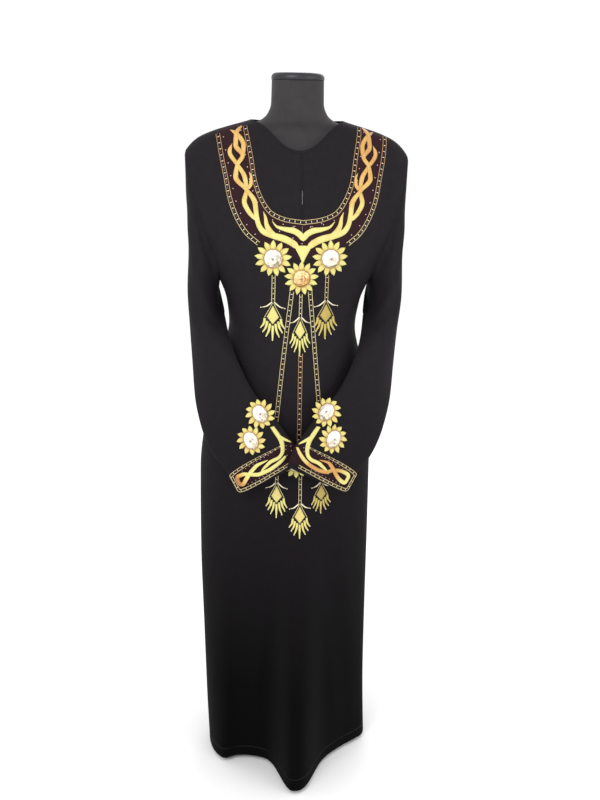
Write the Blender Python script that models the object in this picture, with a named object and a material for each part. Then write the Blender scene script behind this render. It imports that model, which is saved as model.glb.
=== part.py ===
"""A floor-length embroidered kaftan, worn by a limbless dress form.

Metres, +Z up.  The front faces -Y.  Left and right are as seen from the front, with left at -X.
The origin is the centre of the underside of the form's round base.
"""
import math
from collections import namedtuple

import bmesh
import bpy
import numpy as np
from mathutils import Vector
from mathutils.bvhtree import BVHTree
from mathutils.geometry import delaunay_2d_cdt

# Driving dimensions of the cloth
CLOTH = 0.0016
SEAM = 0.0003
SHOULDER_SEAM_Y = -0.012
HEM_HEIGHT = 0.010
UNDERARM_HEIGHT = 1.090
TIP_HEIGHT = 1.352
TIP_HALF = 0.2235
NECK_POINT_HEIGHT = 1.413
NECK_HALF = 0.095
NECK_FRONT_DEPTH = 0.082
NECK_BACK_DEPTH = 0.060
ROUNDNESS = 2.2

# Level sections of the worn body.  Above the underarm the half width runs on inside the
# armhole, and above the shoulder tip it is the slope of the shoulder seam.
BodySection = namedtuple("BodySection", "height centre half front back")
BODY_SECTIONS = (
    BodySection(0.000, 0.003, 0.183, 0.114, 0.142),
    BodySection(0.150, -0.004, 0.183, 0.117, 0.140),
    BodySection(0.300, -0.008, 0.184, 0.120, 0.137),
    BodySection(0.500, -0.012, 0.186, 0.124, 0.132),
    BodySection(0.680, -0.013, 0.185, 0.127, 0.127),
    BodySection(0.780, -0.009, 0.179, 0.127, 0.121),
    BodySection(0.860, -0.006, 0.165, 0.124, 0.113),
    BodySection(0.940, -0.004, 0.145, 0.121, 0.100),
    BodySection(1.000, -0.003, 0.133, 0.121, 0.093),
    BodySection(1.050, -0.002, 0.139, 0.124, 0.093),
    BodySection(1.090, -0.001, 0.154, 0.127, 0.097),
    BodySection(1.120, 0.000, 0.172, 0.129, 0.101),
    BodySection(1.150, 0.000, 0.190, 0.130, 0.105),
    BodySection(1.200, 0.000, 0.216, 0.127, 0.112),
    BodySection(1.250, 0.000, 0.2325, 0.117, 0.112),
    BodySection(1.300, 0.000, 0.2380, 0.104, 0.105),
    BodySection(1.335, 0.000, 0.2335, 0.092, 0.095),
    BodySection(1.352, 0.000, TIP_HALF, 0.084, 0.088),
    BodySection(1.365, 0.000, 0.2130, 0.079, 0.082),
    BodySection(1.378, 0.000, 0.1970, 0.074, 0.075),
    BodySection(1.391, 0.000, 0.1680, 0.069, 0.067),
    BodySection(1.400, 0.000, 0.1400, 0.065, 0.061),
    BodySection(NECK_POINT_HEIGHT, 0.000, NECK_HALF, 0.058, 0.052),
    BodySection(1.430, 0.000, 0.0500, 0.040, 0.036),
)

# The cut of the armhole, seen from the front: how far out the panels reach at each height
ArmholePoint = namedtuple("ArmholePoint", "height half")
ARMHOLE = (
    ArmholePoint(UNDERARM_HEIGHT, 0.154),
    ArmholePoint(1.108, 0.1562),
    ArmholePoint(1.135, 0.1625),
    ArmholePoint(1.170, 0.1755),
    ArmholePoint(1.210, 0.1900),
    ArmholePoint(1.255, 0.2045),
    ArmholePoint(1.295, 0.2155),
    ArmholePoint(1.325, 0.2225),
    ArmholePoint(1.344, 0.2250),
    ArmholePoint(TIP_HEIGHT, TIP_HALF),
)

# Folds of the skirt: where they stand at the hem, how they spread to each side, how far they
# reach out there (a trough reaches in), and the height at which they have faded away
Fold = namedtuple("Fold", "place spread_left spread_right reach top")
FRONT_FOLDS = (
    Fold(0.003, 0.034, 0.056, 0.118, 0.80),
    Fold(-0.160, 0.034, 0.030, 0.043, 0.62),
    Fold(0.150, 0.050, 0.040, -0.026, 0.55),
    Fold(-0.083, 0.026, 0.028, -0.007, 0.60),
)
BACK_FOLDS = (
    Fold(-0.118, 0.030, 0.034, 0.040, 0.78),
    Fold(-0.058, 0.024, 0.026, -0.022, 0.66),
    Fold(-0.008, 0.030, 0.036, 0.052, 0.84),
    Fold(0.056, 0.026, 0.024, -0.020, 0.62),
    Fold(0.112, 0.034, 0.030, 0.036, 0.72),
)
FOLD_SHARPNESS = 2.6
FOLD_RISE = 1.5
FOLD_AT_SIDES = 0.35

# Heights of the panel rows below the underarm
SKIRT_ROWS = (
    HEM_HEIGHT, 0.07, 0.15, 0.25, 0.37, 0.51, 0.64, 0.74, 0.82, 0.89, 0.95, 1.00, 1.045, UNDERARM_HEIGHT,
)
SHOULDER_COLUMNS = 5
NECK_COLUMNS = 12

# Sections of a sleeve below the armhole, for the side at +X: the outer fold, the inner fold,
# and how far the cloth stands in front of and behind the line between them
SleeveSection = namedtuple("SleeveSection", "outer inner front back")
SLEEVE_SECTIONS = (
    SleeveSection((0.2235, 0.000, 1.275), (0.1575, -0.004, 1.064), 0.074, 0.064),
    SleeveSection((0.2150, -0.002, 1.185), (0.1555, -0.015, 1.040), 0.071, 0.056),
    SleeveSection((0.2110, -0.010, 1.090), (0.1500, -0.049, 1.010), 0.050, 0.036),
    SleeveSection((0.2090, -0.024, 1.000), (0.1330, -0.092, 0.970), 0.036, 0.020),
    SleeveSection((0.2065, -0.040, 0.925), (0.1110, -0.118, 0.926), 0.032, 0.013),
    SleeveSection((0.2030, -0.062, 0.858), (0.0850, -0.135, 0.883), 0.030, 0.009),
    SleeveSection((0.1895, -0.090, 0.795), (0.045, -0.147, 0.838), 0.024, 0.012),
    SleeveSection((0.1650, -0.122, 0.748), (0.015, -0.157, 0.798), 0.019, 0.014),
    SleeveSection((0.1360, -0.146, 0.717), (0.000, -0.163, 0.780), 0.013, 0.012),
    SleeveSection((0.1110, -0.154, 0.6725), (-0.015, -0.167, 0.740), 0.011, 0.011),
)
SLEEVE_ROWS_BETWEEN = 2
SLEEVE_FOLLOWS_BODY = 0.5
CUFF_LAP = 0.012
CUFF_LAP_ROWS = 3

# The embroidery and its thick pieces.  Places on the front are given as a distance from the
# middle of the embroidery and a height, and places on a cuff as a share of the way from the
# outer to the inner fold and a distance up from the opening.
EMBROIDERY_CENTRE = 0.004
NECKBAND_SHIFT = 0.002
NECKBAND_EASE = 0.003
NECKBAND_EASES_FROM = 0.030
NECKBAND_EASES_OVER = 0.070
NECKBAND_FOOT = 1.120
LIFT = 0.0006
FEEL = 0.012
SETTLE_PASSES = 4
STRAND_WIDTH = 0.0078
STRAND_RISE = 0.0014
STRAND_STEP = 0.010
CHAIN_WIDTH = 0.0080
CHAIN_RISE = 0.0012
CHAIN_STEP = 0.013
CHAIN_CROWN = 0.8
CUFF_CHAIN_WIDTH = 0.0056
CUFF_STEP = 0.8
OVER = STRAND_RISE + 0.0007

PathPoint = namedtuple("PathPoint", "half height")
CHAIN_OUTER = (
    PathPoint(0.1680, 1.3850), PathPoint(0.1615, 1.3460), PathPoint(0.1535, 1.3075),
    PathPoint(0.1460, 1.2685), PathPoint(0.1345, 1.2355), PathPoint(0.1137, 1.2016),
    PathPoint(0.0890, 1.1810),
)
CHAIN_INNER = (
    PathPoint(0.1150, 1.4010), PathPoint(0.1110, 1.3790), PathPoint(0.1040, 1.3415),
    PathPoint(0.0980, 1.3040), PathPoint(0.0870, 1.2720), PathPoint(0.0640, 1.2400),
    PathPoint(0.0330, 1.2275), PathPoint(0.0000, 1.2230),
)
CHAIN_FRONT_SIDE = (PathPoint(0.0195, 1.0760), PathPoint(0.0345, 0.9300), PathPoint(0.0470, 0.8000))
CHAIN_FRONT_MIDDLE = (PathPoint(0.0025, 0.9520), PathPoint(0.0020, 0.7740))

# The strands of the vine beside the neck.  Over is 1 where a strand passes over another.
StrandPoint = namedtuple("StrandPoint", "half height over")
VINE_INNER = (
    StrandPoint(0.1211, 1.4000, 2), StrandPoint(0.1318, 1.3865, 2.2), StrandPoint(0.1337, 1.3655, 0),
    StrandPoint(0.1202, 1.3460, 1), StrandPoint(0.1303, 1.3286, 1), StrandPoint(0.1335, 1.3020, 0),
    StrandPoint(0.1144, 1.2768, 1), StrandPoint(0.0968, 1.2530, 0), StrandPoint(0.0930, 1.2310, 0),
    StrandPoint(0.0890, 1.2120, 0), StrandPoint(0.0725, 1.2000, 0), StrandPoint(0.0420, 1.1935, 0),
    StrandPoint(0.0200, 1.1850, 0),
)
VINE_OUTER = (
    StrandPoint(0.1402, 1.3690, 0), StrandPoint(0.1455, 1.3530, 0), StrandPoint(0.1303, 1.3286, 0),
    StrandPoint(0.1178, 1.3020, 0), StrandPoint(0.1144, 1.2768, 0), StrandPoint(0.1170, 1.2530, 0),
    StrandPoint(0.1040, 1.2280, 0),
)
VINE_SHOULDER = (
    StrandPoint(0.1440, 1.3930, 0), StrandPoint(0.1318, 1.3865, 0), StrandPoint(0.1185, 1.3655, 0),
    StrandPoint(0.1202, 1.3460, 0),
)
LEAF_UPPER = (PathPoint(0.1073, 1.3070), PathPoint(0.1052, 1.2950), PathPoint(0.1060, 1.2830))
LEAF_LOWER = (PathPoint(0.0795, 1.2410), PathPoint(0.0730, 1.2240), PathPoint(0.0700, 1.2095))
LEAF_WIDTH = 0.0055
CRESCENT = (
    PathPoint(0.0610, 1.2270), PathPoint(0.0460, 1.2185), PathPoint(0.0310, 1.2125),
    PathPoint(0.0130, 1.2060), PathPoint(0.0000, 1.1950),
)
CRESCENT_WIDTH = 0.0095
FUNNEL = (
    (0.0000, 1.1800), (0.0150, 1.1815), (0.0115, 1.1735), (0.0065, 1.1640), (0.0045, 1.1505),
)
FUNNEL_SPINE = (-0.010, -0.020)

CUFF_ROW_HEIGHT = 0.047
CuffPoint = namedtuple("CuffPoint", "along up over")
CUFF_CHAIN = (
    CuffPoint(0.790, 0.0105, 0), CuffPoint(0.110, 0.0050, 0), CuffPoint(0.050, 0.0075, 0),
    CuffPoint(0.050, 0.0370, 0), CuffPoint(0.110, 0.0420, 0), CuffPoint(0.780, 0.0610, 0),
)
CUFF_LOOP_LEFT = (
    CuffPoint(0.586, 0.0393, 0), CuffPoint(0.452, 0.0391, 0), CuffPoint(0.319, 0.0321, 0.4),
    CuffPoint(0.262, 0.0276, 1), CuffPoint(0.205, 0.0220, 0.4), CuffPoint(0.140, 0.0170, 0),
    CuffPoint(0.110, 0.0190, 0), CuffPoint(0.110, 0.0275, 0), CuffPoint(0.140, 0.0325, 0),
    CuffPoint(0.190, 0.0325, 0), CuffPoint(0.262, 0.0276, 0), CuffPoint(0.404, 0.0185, 0),
    CuffPoint(0.524, 0.0180, 0), CuffPoint(0.662, 0.0205, 0), CuffPoint(0.760, 0.0230, 0),
)
CUFF_LOOP_RIGHT = (
    CuffPoint(0.623, 0.0405, 0), CuffPoint(0.506, 0.0425, 0), CuffPoint(0.400, 0.0350, 0.4),
    CuffPoint(0.365, 0.0315, 1), CuffPoint(0.310, 0.0255, 0.4), CuffPoint(0.220, 0.0190, 0),
    CuffPoint(0.140, 0.0165, 0), CuffPoint(0.110, 0.0190, 0), CuffPoint(0.110, 0.0285, 0),
    CuffPoint(0.160, 0.0345, 0), CuffPoint(0.250, 0.0355, 0), CuffPoint(0.365, 0.0315, 0),
    CuffPoint(0.460, 0.0225, 0), CuffPoint(0.580, 0.0200, 0), CuffPoint(0.680, 0.0215, 0),
    CuffPoint(0.760, 0.0235, 0),
)
CUFF_STALK = (
    CuffPoint(0.918, 0.1130, 0), CuffPoint(0.915, 0.0990, 0), CuffPoint(0.872, 0.0665, 0),
    CuffPoint(0.800, 0.0380, 0), CuffPoint(0.716, 0.0325, 0), CuffPoint(0.630, 0.0335, 0),
    CuffPoint(0.545, 0.0300, 0),
)
CUFF_LEAF = (CuffPoint(0.950, 0.0860, 0), CuffPoint(0.963, 0.0760, 0), CuffPoint(0.978, 0.0600, 0))
CUFF_STRAND_WIDTH = 0.0062

# Flowers: a rosette of petals round a large stone, which may be an oval that leans outwards
FlowerSize = namedtuple("FlowerSize", "radius seat petals")
SIDE_FLOWER = FlowerSize(0.0345, 0.0195, 13)
MIDDLE_FLOWER = FlowerSize(0.0325, 0.0178, 13)
CUFF_FLOWER = FlowerSize(0.0290, 0.0168, 12)
OVAL_NARROW = 0.90
OVAL_TALL = 1.16
OVAL_LEAN = -0.17
PETAL_VALLEY = 0.78
PETAL_CREST = 0.82
PETAL_TROUGH = 0.70
PETAL_RISE = 0.0026
PETAL_EDGE = 0.0011
SEAT_RISE = 0.0014
STONE_RISE = 0.0075
STONE_SIDES = 12
STONE_FIT = 0.95
STONE_LEVELS = ((1.0, 0.0), (1.0, 0.24), (0.84, 0.62), (0.5, 1.0))
STIFF_SAG = 0.004
FrontFlower = namedtuple("FrontFlower", "name across height size")
FRONT_FLOWERS = (
    FrontFlower("chest_left", -0.0560, 1.1530, SIDE_FLOWER),
    FrontFlower("chest_right", 0.0565, 1.1540, SIDE_FLOWER),
    FrontFlower("chest_middle", 0.0000, 1.1150, MIDDLE_FLOWER),
    FrontFlower("lower_middle", -0.0030, 0.7280, CUFF_FLOWER),
)
CuffFlower = namedtuple("CuffFlower", "name along row")
CUFF_FLOWERS = (CuffFlower("upper", 0.925, 6.790), CuffFlower("lower", 0.620, 7.710))

# Drops: a stem, two small arms, a diamond and seven rays.  The outline is the right half,
# measured from the fork under the stem, and each drop stretches it.
Drop = namedtuple("Drop", "name across top fork wide long")
DROPS = (
    Drop("chest_left", -0.0545, 1.1160, 1.0650, 0.95, 1.0),
    Drop("chest_right", 0.0535, 1.1170, 1.0685, 0.95, 1.0),
    Drop("chest_middle", 0.0000, 1.0790, 1.0355, 0.80, 1.0),
    Drop("lower_left", -0.0425, 0.7300, 0.6855, 0.87, 0.98),
    Drop("lower_right", 0.0510, 0.7300, 0.6840, 0.82, 0.86),
    Drop("lower_middle", 0.0060, 0.6965, 0.6417, 0.87, 0.95),
)
DROP_STEM = 0.0044
DROP_OUTLINE = (
    (0.0044, 0.0040), (0.0078, -0.0015), (0.0150, -0.0078), (0.0244, -0.0100), (0.0250, -0.0138),
    (0.0160, -0.0130), (0.0098, -0.0098), (0.0182, -0.0315), (0.0195, -0.0420), (0.0252, -0.0512),
    (0.0226, -0.0545), (0.0152, -0.0452), (0.0200, -0.0592), (0.0168, -0.0620), (0.0105, -0.0490),
    (0.0156, -0.0690), (0.0122, -0.0713), (0.0042, -0.0520), (0.0024, -0.0770), (0.0000, -0.0790),
)
DROP_SPINE = (0.0000, -0.0150, -0.0300, -0.0440)
DROP_RISE = 0.0015
BINDING_WIDTH = 0.5
BINDING_RISE = 0.0012

# The dress form inside, and its stand
FormSection = namedtuple("FormSection", "height half front back")
FORM_SECTIONS = (
    FormSection(0.800, 0.140, 0.094, 0.092),
    FormSection(0.850, 0.150, 0.104, 0.101),
    FormSection(0.900, 0.140, 0.104, 0.096),
    FormSection(0.960, 0.122, 0.098, 0.084),
    FormSection(1.000, 0.117, 0.096, 0.079),
    FormSection(1.060, 0.124, 0.102, 0.081),
    FormSection(1.120, 0.136, 0.112, 0.088),
    FormSection(1.180, 0.147, 0.118, 0.096),
    FormSection(1.230, 0.155, 0.109, 0.099),
    FormSection(1.280, 0.167, 0.096, 0.096),
    FormSection(1.320, 0.181, 0.083, 0.086),
    FormSection(1.350, 0.191, 0.072, 0.074),
    FormSection(1.371, 0.186, 0.060, 0.062),
    FormSection(1.3860, 0.1690, 0.052, 0.052),
    FormSection(1.3960, 0.1400, 0.046, 0.044),
    FormSection(1.4030, 0.109, 0.046, 0.042),
    FormSection(1.4100, 0.079, 0.050, 0.045),
    FormSection(1.425, 0.060, 0.051, 0.048),
    FormSection(1.445, 0.053, 0.050, 0.049),
    FormSection(1.490, 0.052, 0.050, 0.050),
)
FORM_SIDES = 24
CAP_RADIUS = 0.053
CAP_HEIGHT = 0.014
CAP_SIDES = 24
POLE_RADIUS = 0.016
POLE_SIDES = 16
BASE_RADIUS = 0.118
BASE_HEIGHT = 0.014
BASE_SIDES = 32
BASE_SLOPE = 0.002
EDGE_ROUND = 0.003
COLLAR_RADIUS = 0.030
COLLAR_HEIGHT = 0.030


def clear_scene():
    for item in list(bpy.data.objects):
        bpy.data.objects.remove(item, do_unlink=True)


def finish_material(name, colour, roughness, metallic=0.0):
    """A Principled BSDF material with one colour, roughness and metallic value."""
    material = bpy.data.materials.get(name)
    if material is None:
        material = bpy.data.materials.new(name)
        material.use_nodes = True
        shader = material.node_tree.nodes["Principled BSDF"]
        shader.inputs["Base Color"].default_value = (*colour, 1.0)
        shader.inputs["Roughness"].default_value = roughness
        shader.inputs["Metallic"].default_value = metallic
        material.diffuse_color = (*colour, 1.0)
    return material


def black_cloth():
    return finish_material("black crepe", (0.016, 0.015, 0.016), 0.85)


def form_jersey():
    return finish_material("form jersey", (0.03, 0.028, 0.03), 0.9)


def stand_metal():
    return finish_material("stand metal", (0.05, 0.05, 0.055), 0.35, 1.0)


def gold_thread():
    return finish_material("gold thread", (0.62, 0.46, 0.10), 0.45)


def chain_thread():
    return finish_material("chain thread", (0.55, 0.24, 0.06), 0.5)


def clear_stone():
    return finish_material("clear stone", (0.80, 0.78, 0.76), 0.12)


def amber_stone():
    return finish_material("amber stone", (0.72, 0.40, 0.20), 0.12)


def column(table, name):
    return np.array([getattr(row, name) for row in table])


def smooth_curve(places, values, at):
    """A smooth curve through a table's values that never overshoots between two rows.

    Each stretch is a cubic, and its slope at a row is the harmonic mean of the slopes of
    the stretches on both sides, or level where the values turn.
    """
    places = np.asarray(places, float)
    values = np.asarray(values, float)
    at = np.clip(np.asarray(at, float), places[0], places[-1])
    steps = np.diff(places)
    slopes = np.diff(values) / steps
    bends = np.zeros_like(values)
    turning = slopes[:-1] * slopes[1:] <= 0
    with np.errstate(divide="ignore", invalid="ignore"):
        mean = 2.0 / (1.0 / slopes[:-1] + 1.0 / slopes[1:])
    bends[1:-1] = np.where(turning, 0.0, mean)
    bends[0] = slopes[0]
    bends[-1] = slopes[-1]
    index = np.clip(np.searchsorted(places, at, side="right") - 1, 0, len(steps) - 1)
    step = steps[index]
    part = (at - places[index]) / step
    start = values[index]
    end = values[index + 1]
    cubic = part ** 2 * (3 - 2 * part)
    return (start + (end - start) * cubic
            + step * part * (1 - part) * ((1 - part) * bends[index] - part * bends[index + 1]))


def body_value(name, height):
    return smooth_curve(column(BODY_SECTIONS, "height"), column(BODY_SECTIONS, name), height)


def fold_reach(folds, x, height):
    """How far the folds reach out: each is a rounded ridge that grows towards the hem."""
    reach = np.zeros(np.broadcast(x, height).shape)
    for fold in folds:
        away = np.asarray(x) - fold.place
        spread = np.where(away < 0, fold.spread_left, fold.spread_right)
        ridge = np.exp(-np.abs(away / spread) ** FOLD_SHARPNESS)
        grown = np.clip((fold.top - np.asarray(height)) / fold.top, 0, 1) ** FOLD_RISE
        reach = reach + fold.reach * ridge * grown
    return reach


def cloth_depth(x, height, side):
    """How far the cloth lies in front of the shoulder seam (side -1) or behind it (+1).

    A level section is a rounded ellipse: depth times (1 - |x / half| ^ n) ^ (1 / n), and
    the folds stand out from it, less towards the side seams.
    """
    name, folds = ("front", FRONT_FOLDS) if side < 0 else ("back", BACK_FOLDS)
    out = np.abs(x - body_value("centre", height)) / body_value("half", height)
    out = np.clip(out, 0, 1)
    bow = (1 - out ** ROUNDNESS) ** (1 / ROUNDNESS)
    return bow * body_value(name, height) + fold_reach(folds, x, height) * bow ** FOLD_AT_SIDES


def cloth_point(x, height, side):
    """A point of the front (side -1) or back (side +1) cloth at a place seen from the front."""
    x = np.asarray(x, float)
    height = np.asarray(height, float)
    y = SHOULDER_SEAM_Y + side * cloth_depth(x, height, side)
    return np.stack(np.broadcast_arrays(x, y, height), axis=-1)


def shoulder_height(x):
    """Height of the shoulder seam above a place x: where the half width falls to |x|."""
    heights = np.linspace(TIP_HEIGHT, NECK_POINT_HEIGHT, 80)
    halves = body_value("half", heights)
    return np.interp(np.abs(x), halves[::-1], heights[::-1])


def neckline_height(x, side):
    """Height at which the body's depth matches an oval neck hole, seen from above."""
    deep = NECK_FRONT_DEPTH if side < 0 else NECK_BACK_DEPTH
    heights = np.linspace(1.30, NECK_POINT_HEIGHT, 200)
    found = []
    for place in np.atleast_1d(x):
        wanted = deep * math.sqrt(max(0.0, 1 - (place / NECK_HALF) ** 2))
        fits = body_value("half", heights) >= abs(place)
        depths = cloth_depth(np.full(heights.shape, abs(place)), heights, side)[fits]
        found.append(np.interp(wanted, depths[::-1], heights[fits][::-1]))
    return np.array(found)


def panel_columns():
    """Places across a panel from -1 to 1: even over the neck, closer towards the sides."""
    neck = NECK_HALF / TIP_HALF
    middle = np.linspace(-neck, neck, NECK_COLUMNS + 1)
    outward = np.sin(np.linspace(0, math.pi / 2, SHOULDER_COLUMNS + 1)[1:])
    right = neck + (1 - neck) * outward
    return np.concatenate([-right[::-1], middle, right])


def panel_grid(side):
    """Rows of points of one body panel, from the hem to the shoulder seams and neckline.

    A row is level below the underarm.  Above it the row's ends follow the armhole and its
    middle rises towards the shoulder seams and the neckline, which are the last row.
    """
    across = panel_columns()
    top_x = across * TIP_HALF
    in_neck = np.abs(top_x) < NECK_HALF - 1e-6
    top = shoulder_height(top_x)
    top[in_neck] = neckline_height(top_x[in_neck], side)
    rows = []
    for height in SKIRT_ROWS[:-1]:
        x = body_value("centre", height) + across * body_value("half", height)
        rows.append(cloth_point(x, np.full(x.shape, height), side))
    for point in ARMHOLE:
        share = (point.height - UNDERARM_HEIGHT) / (TIP_HEIGHT - UNDERARM_HEIGHT)
        centre = body_value("centre", point.height)
        height = point.height + (top - TIP_HEIGHT) * share ** 2
        rows.append(cloth_point(centre + across * point.half, height, side))
    return np.array(rows)


def row_normals(grid, closed):
    """Unit normals of a grid of points, from the steps along its rows and columns."""
    if closed:
        along = np.roll(grid, -1, axis=1) - np.roll(grid, 1, axis=1)
    else:
        along = np.gradient(grid, axis=1)
    up = np.gradient(grid, axis=0)
    normal = np.cross(along, up)
    return normal / np.maximum(np.linalg.norm(normal, axis=-1, keepdims=True), 1e-12)


def grid_triangles(grid, closed):
    """Triangles of a grid of points: each square is cut along its shorter diagonal."""
    rows, columns = grid.shape[:2]
    faces = []
    for row in range(rows - 1):
        for place in range(columns if closed else columns - 1):
            after = (place + 1) % columns
            a, b, c, d = (row, place), (row, after), (row + 1, after), (row + 1, place)
            if math.dist(grid[a], grid[c]) <= math.dist(grid[b], grid[d]):
                cut = ((a, b, c), (a, c, d))
            else:
                cut = ((a, b, d), (b, c, d))
            faces += [[r * columns + k for r, k in corners] for corners in cut]
    return faces


def solid_from_grids(name, outer, inner, material, closed):
    """A closed wall between an outer and an inner grid, with its rims, as one object."""
    rows, columns = outer.shape[:2]
    points = np.concatenate([outer.reshape(-1, 3), inner.reshape(-1, 3)])
    layer = rows * columns

    def at(row, place, level):
        return level * layer + row * columns + place % columns

    faces = grid_triangles(outer, closed)
    faces += [[layer + corner for corner in face[::-1]] for face in faces]
    for place in range(columns if closed else columns - 1):
        faces.append([at(0, place + 1, 0), at(0, place, 0), at(0, place, 1), at(0, place + 1, 1)])
        end = rows - 1
        faces.append([at(end, place, 0), at(end, place + 1, 0), at(end, place + 1, 1), at(end, place, 1)])
    if not closed:
        for row in range(rows - 1):
            faces.append([at(row, 0, 0), at(row + 1, 0, 0), at(row + 1, 0, 1), at(row, 0, 1)])
            end = columns - 1
            faces.append([at(row + 1, end, 0), at(row, end, 0), at(row, end, 1), at(row + 1, end, 1)])
    return solid(name, points, faces, material)


def skin_of(grids, closed):
    """The outer side of cloth, as a surface on which other pieces can be laid."""
    points = []
    faces = []
    for grid in grids:
        start = len(points)
        points += [tuple(point) for point in grid.reshape(-1, 3)]
        faces += [[start + corner for corner in face] for face in grid_triangles(grid, closed)]
    return BVHTree.FromPolygons(points, faces)


def cloth_above(skin, point, normal, missing=None):
    """How far out along its normal the cloth lies from a point."""
    hit = skin.ray_cast(Vector(point + normal * FEEL), Vector(-normal), 2 * FEEL)[0]
    return missing if hit is None else float(np.dot(np.array(hit) - point, normal))


def solid(name, points, faces, material):
    """One object from points and faces, with its faces turned outwards."""
    mesh = bpy.data.meshes.new(name)
    mesh.from_pydata([tuple(point) for point in np.asarray(points, float)], [], faces)
    shape = bmesh.new()
    shape.from_mesh(mesh)
    bmesh.ops.recalc_face_normals(shape, faces=shape.faces)
    shape.to_mesh(mesh)
    shape.free()
    mesh.materials.append(material)
    mesh.shade_smooth()
    mesh.set_sharp_from_angle(angle=math.radians(40))
    item = bpy.data.objects.new(name, mesh)
    bpy.context.scene.collection.objects.link(item)
    return item


def armhole_ring(side, panels):
    """The armhole as a ring: from the shoulder tip down the front and up the back."""
    rows = slice(len(SKIRT_ROWS) - 1, None)
    edge = -1 if side > 0 else 0
    front = panels[-1][rows, edge]
    back = panels[1][rows, edge]
    return np.concatenate([front[::-1], back[1:-1]])


def sleeve_ring(section, side, lap, count):
    """One ring of a sleeve, from the outer fold over the front to the inner fold and back.

    The ring is an ellipse on the line between the folds, deeper in front than behind, and
    its front lies level and square to that line.
    """
    flip = np.array([side, 1.0, 1.0])
    drift = SLEEVE_FOLLOWS_BODY * body_value("centre", section.outer[2])
    outer = np.array(section.outer) * flip + (drift, SHOULDER_SEAM_Y, 0)
    inner = np.array(section.inner) * flip + (drift, SHOULDER_SEAM_Y - lap, 0)
    centre = (outer + inner) / 2
    half = (outer - inner) / 2
    forward = unit(np.array([half[1], -half[0], 0.0])) * side
    angle = 2 * math.pi * np.arange(count) / count
    depth = np.where(np.sin(angle) > 0, section.front, section.back)
    return centre + np.outer(np.cos(angle), half) + np.outer(depth * np.sin(angle), forward)


def sleeve_controls(side, panels):
    """The rings that a sleeve's length is drawn through, from the armhole to the cuff."""
    rings = [armhole_ring(side, panels)]
    last = len(SLEEVE_SECTIONS) - 1
    for index, section in enumerate(SLEEVE_SECTIONS):
        near = max(0.0, 1 - (last - index) / CUFF_LAP_ROWS)
        rings.append(sleeve_ring(section, side, side * CUFF_LAP * near, len(rings[0])))
    return np.array(rings)


def sleeve_grid(side, panels, between=SLEEVE_ROWS_BETWEEN):
    """Rings of points down a sleeve: a smooth curve through its sections in each column."""
    controls = sleeve_controls(side, panels)
    count = len(controls)
    places = np.arange(count)
    fine = np.linspace(0, count - 1, (count - 1) * between + 1)
    grid = np.empty((len(fine), controls.shape[1], 3))
    for place in range(controls.shape[1]):
        for axis in range(3):
            grid[:, place, axis] = smooth_curve(places, controls[:, place, axis], fine)
    return grid


def unit(vector):
    return vector / np.linalg.norm(vector)


def share_seams(normals, rings, top_x):
    """Gives the edges that are sewn together one common direction through the cloth.

    Then both walls end on the same plane at a seam, and only the seam's gap parts them.
    """
    front, back = normals[-1], normals[1]
    start = len(SKIRT_ROWS) - 1
    for edge, side in ((0, -1), (-1, 1)):
        for row in range(start):
            front[row, edge] = back[row, edge] = unit(front[row, edge] + back[row, edge])
        ring = rings[side]
        rise = len(ARMHOLE) - 1
        for step in range(1, rise):
            row = start + step
            front[row, edge] = ring[rise - step] = unit(front[row, edge] + ring[rise - step])
            back[row, edge] = ring[rise + step] = unit(back[row, edge] + ring[rise + step])
        for row, place in ((start, rise), (start + rise, 0)):
            common = unit(front[row, edge] + back[row, edge] + 2 * ring[place])
            front[row, edge] = back[row, edge] = ring[place] = common
    for place in range(1, front.shape[1] - 1):
        if abs(top_x[place]) > NECK_HALF - 1e-6:
            front[-1, place] = back[-1, place] = unit(front[-1, place] + back[-1, place])


def make_body():
    """The panels and the sleeves, each a wall of cloth on the inside of its grid."""
    panels = {side: panel_grid(side) for side in (-1, 1)}
    sleeves = {side: sleeve_grid(side, panels) for side in (-1, 1)}
    normals = {side: -side * row_normals(panels[side], False) for side in (-1, 1)}
    sleeve_normals = {}
    for side in (-1, 1):
        normal = row_normals(sleeves[side], True)
        sleeve_normals[side] = normal * np.sign(normal[3, 0, 0] * side)
    rings = {side: sleeve_normals[side][0] for side in (-1, 1)}
    share_seams(normals, rings, panel_columns() * TIP_HALF)
    skins = {0: skin_of([panels[side] for side in (-1, 1)], False)}
    for side, name in ((-1, "front"), (1, "back")):
        outer = trimmed(panels[side])
        solid_from_grids(name, outer, outer - CLOTH * normals[side], black_cloth(), closed=False)
    for side, name in ((-1, "sleeve_left"), (1, "sleeve_right")):
        outer = sleeves[side].copy()
        outer[0] = drawn_in(outer[0], outer[1], SEAM, closed=True)
        inner = outer - CLOTH * sleeve_normals[side]
        solid_from_grids(name, outer, inner, black_cloth(), closed=True)
        skins[side] = skin_of([outer], True)
    return panels, skins


def drawn_in(edge, inside, gap, closed=False):
    """An edge moved by a gap towards the points inside it, square to its own run."""
    if closed:
        run = np.roll(edge, -1, axis=0) - np.roll(edge, 1, axis=0)
    else:
        run = np.gradient(edge, axis=0)
    run = run / np.linalg.norm(run, axis=1, keepdims=True)
    step = inside - edge
    step = step - run * np.sum(step * run, axis=1, keepdims=True)
    return edge + step * gap / np.linalg.norm(step, axis=1, keepdims=True)


def trimmed(grid):
    """A panel whose sides and top are drawn in by half a seam's gap."""
    grid = grid.copy()
    for edge, inside in ((0, 1), (-1, -2)):
        grid[:, edge] = drawn_in(grid[:, edge], grid[:, inside], SEAM / 2)
    grid[-1] = drawn_in(grid[-1], grid[-2], SEAM / 2)
    return grid


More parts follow.
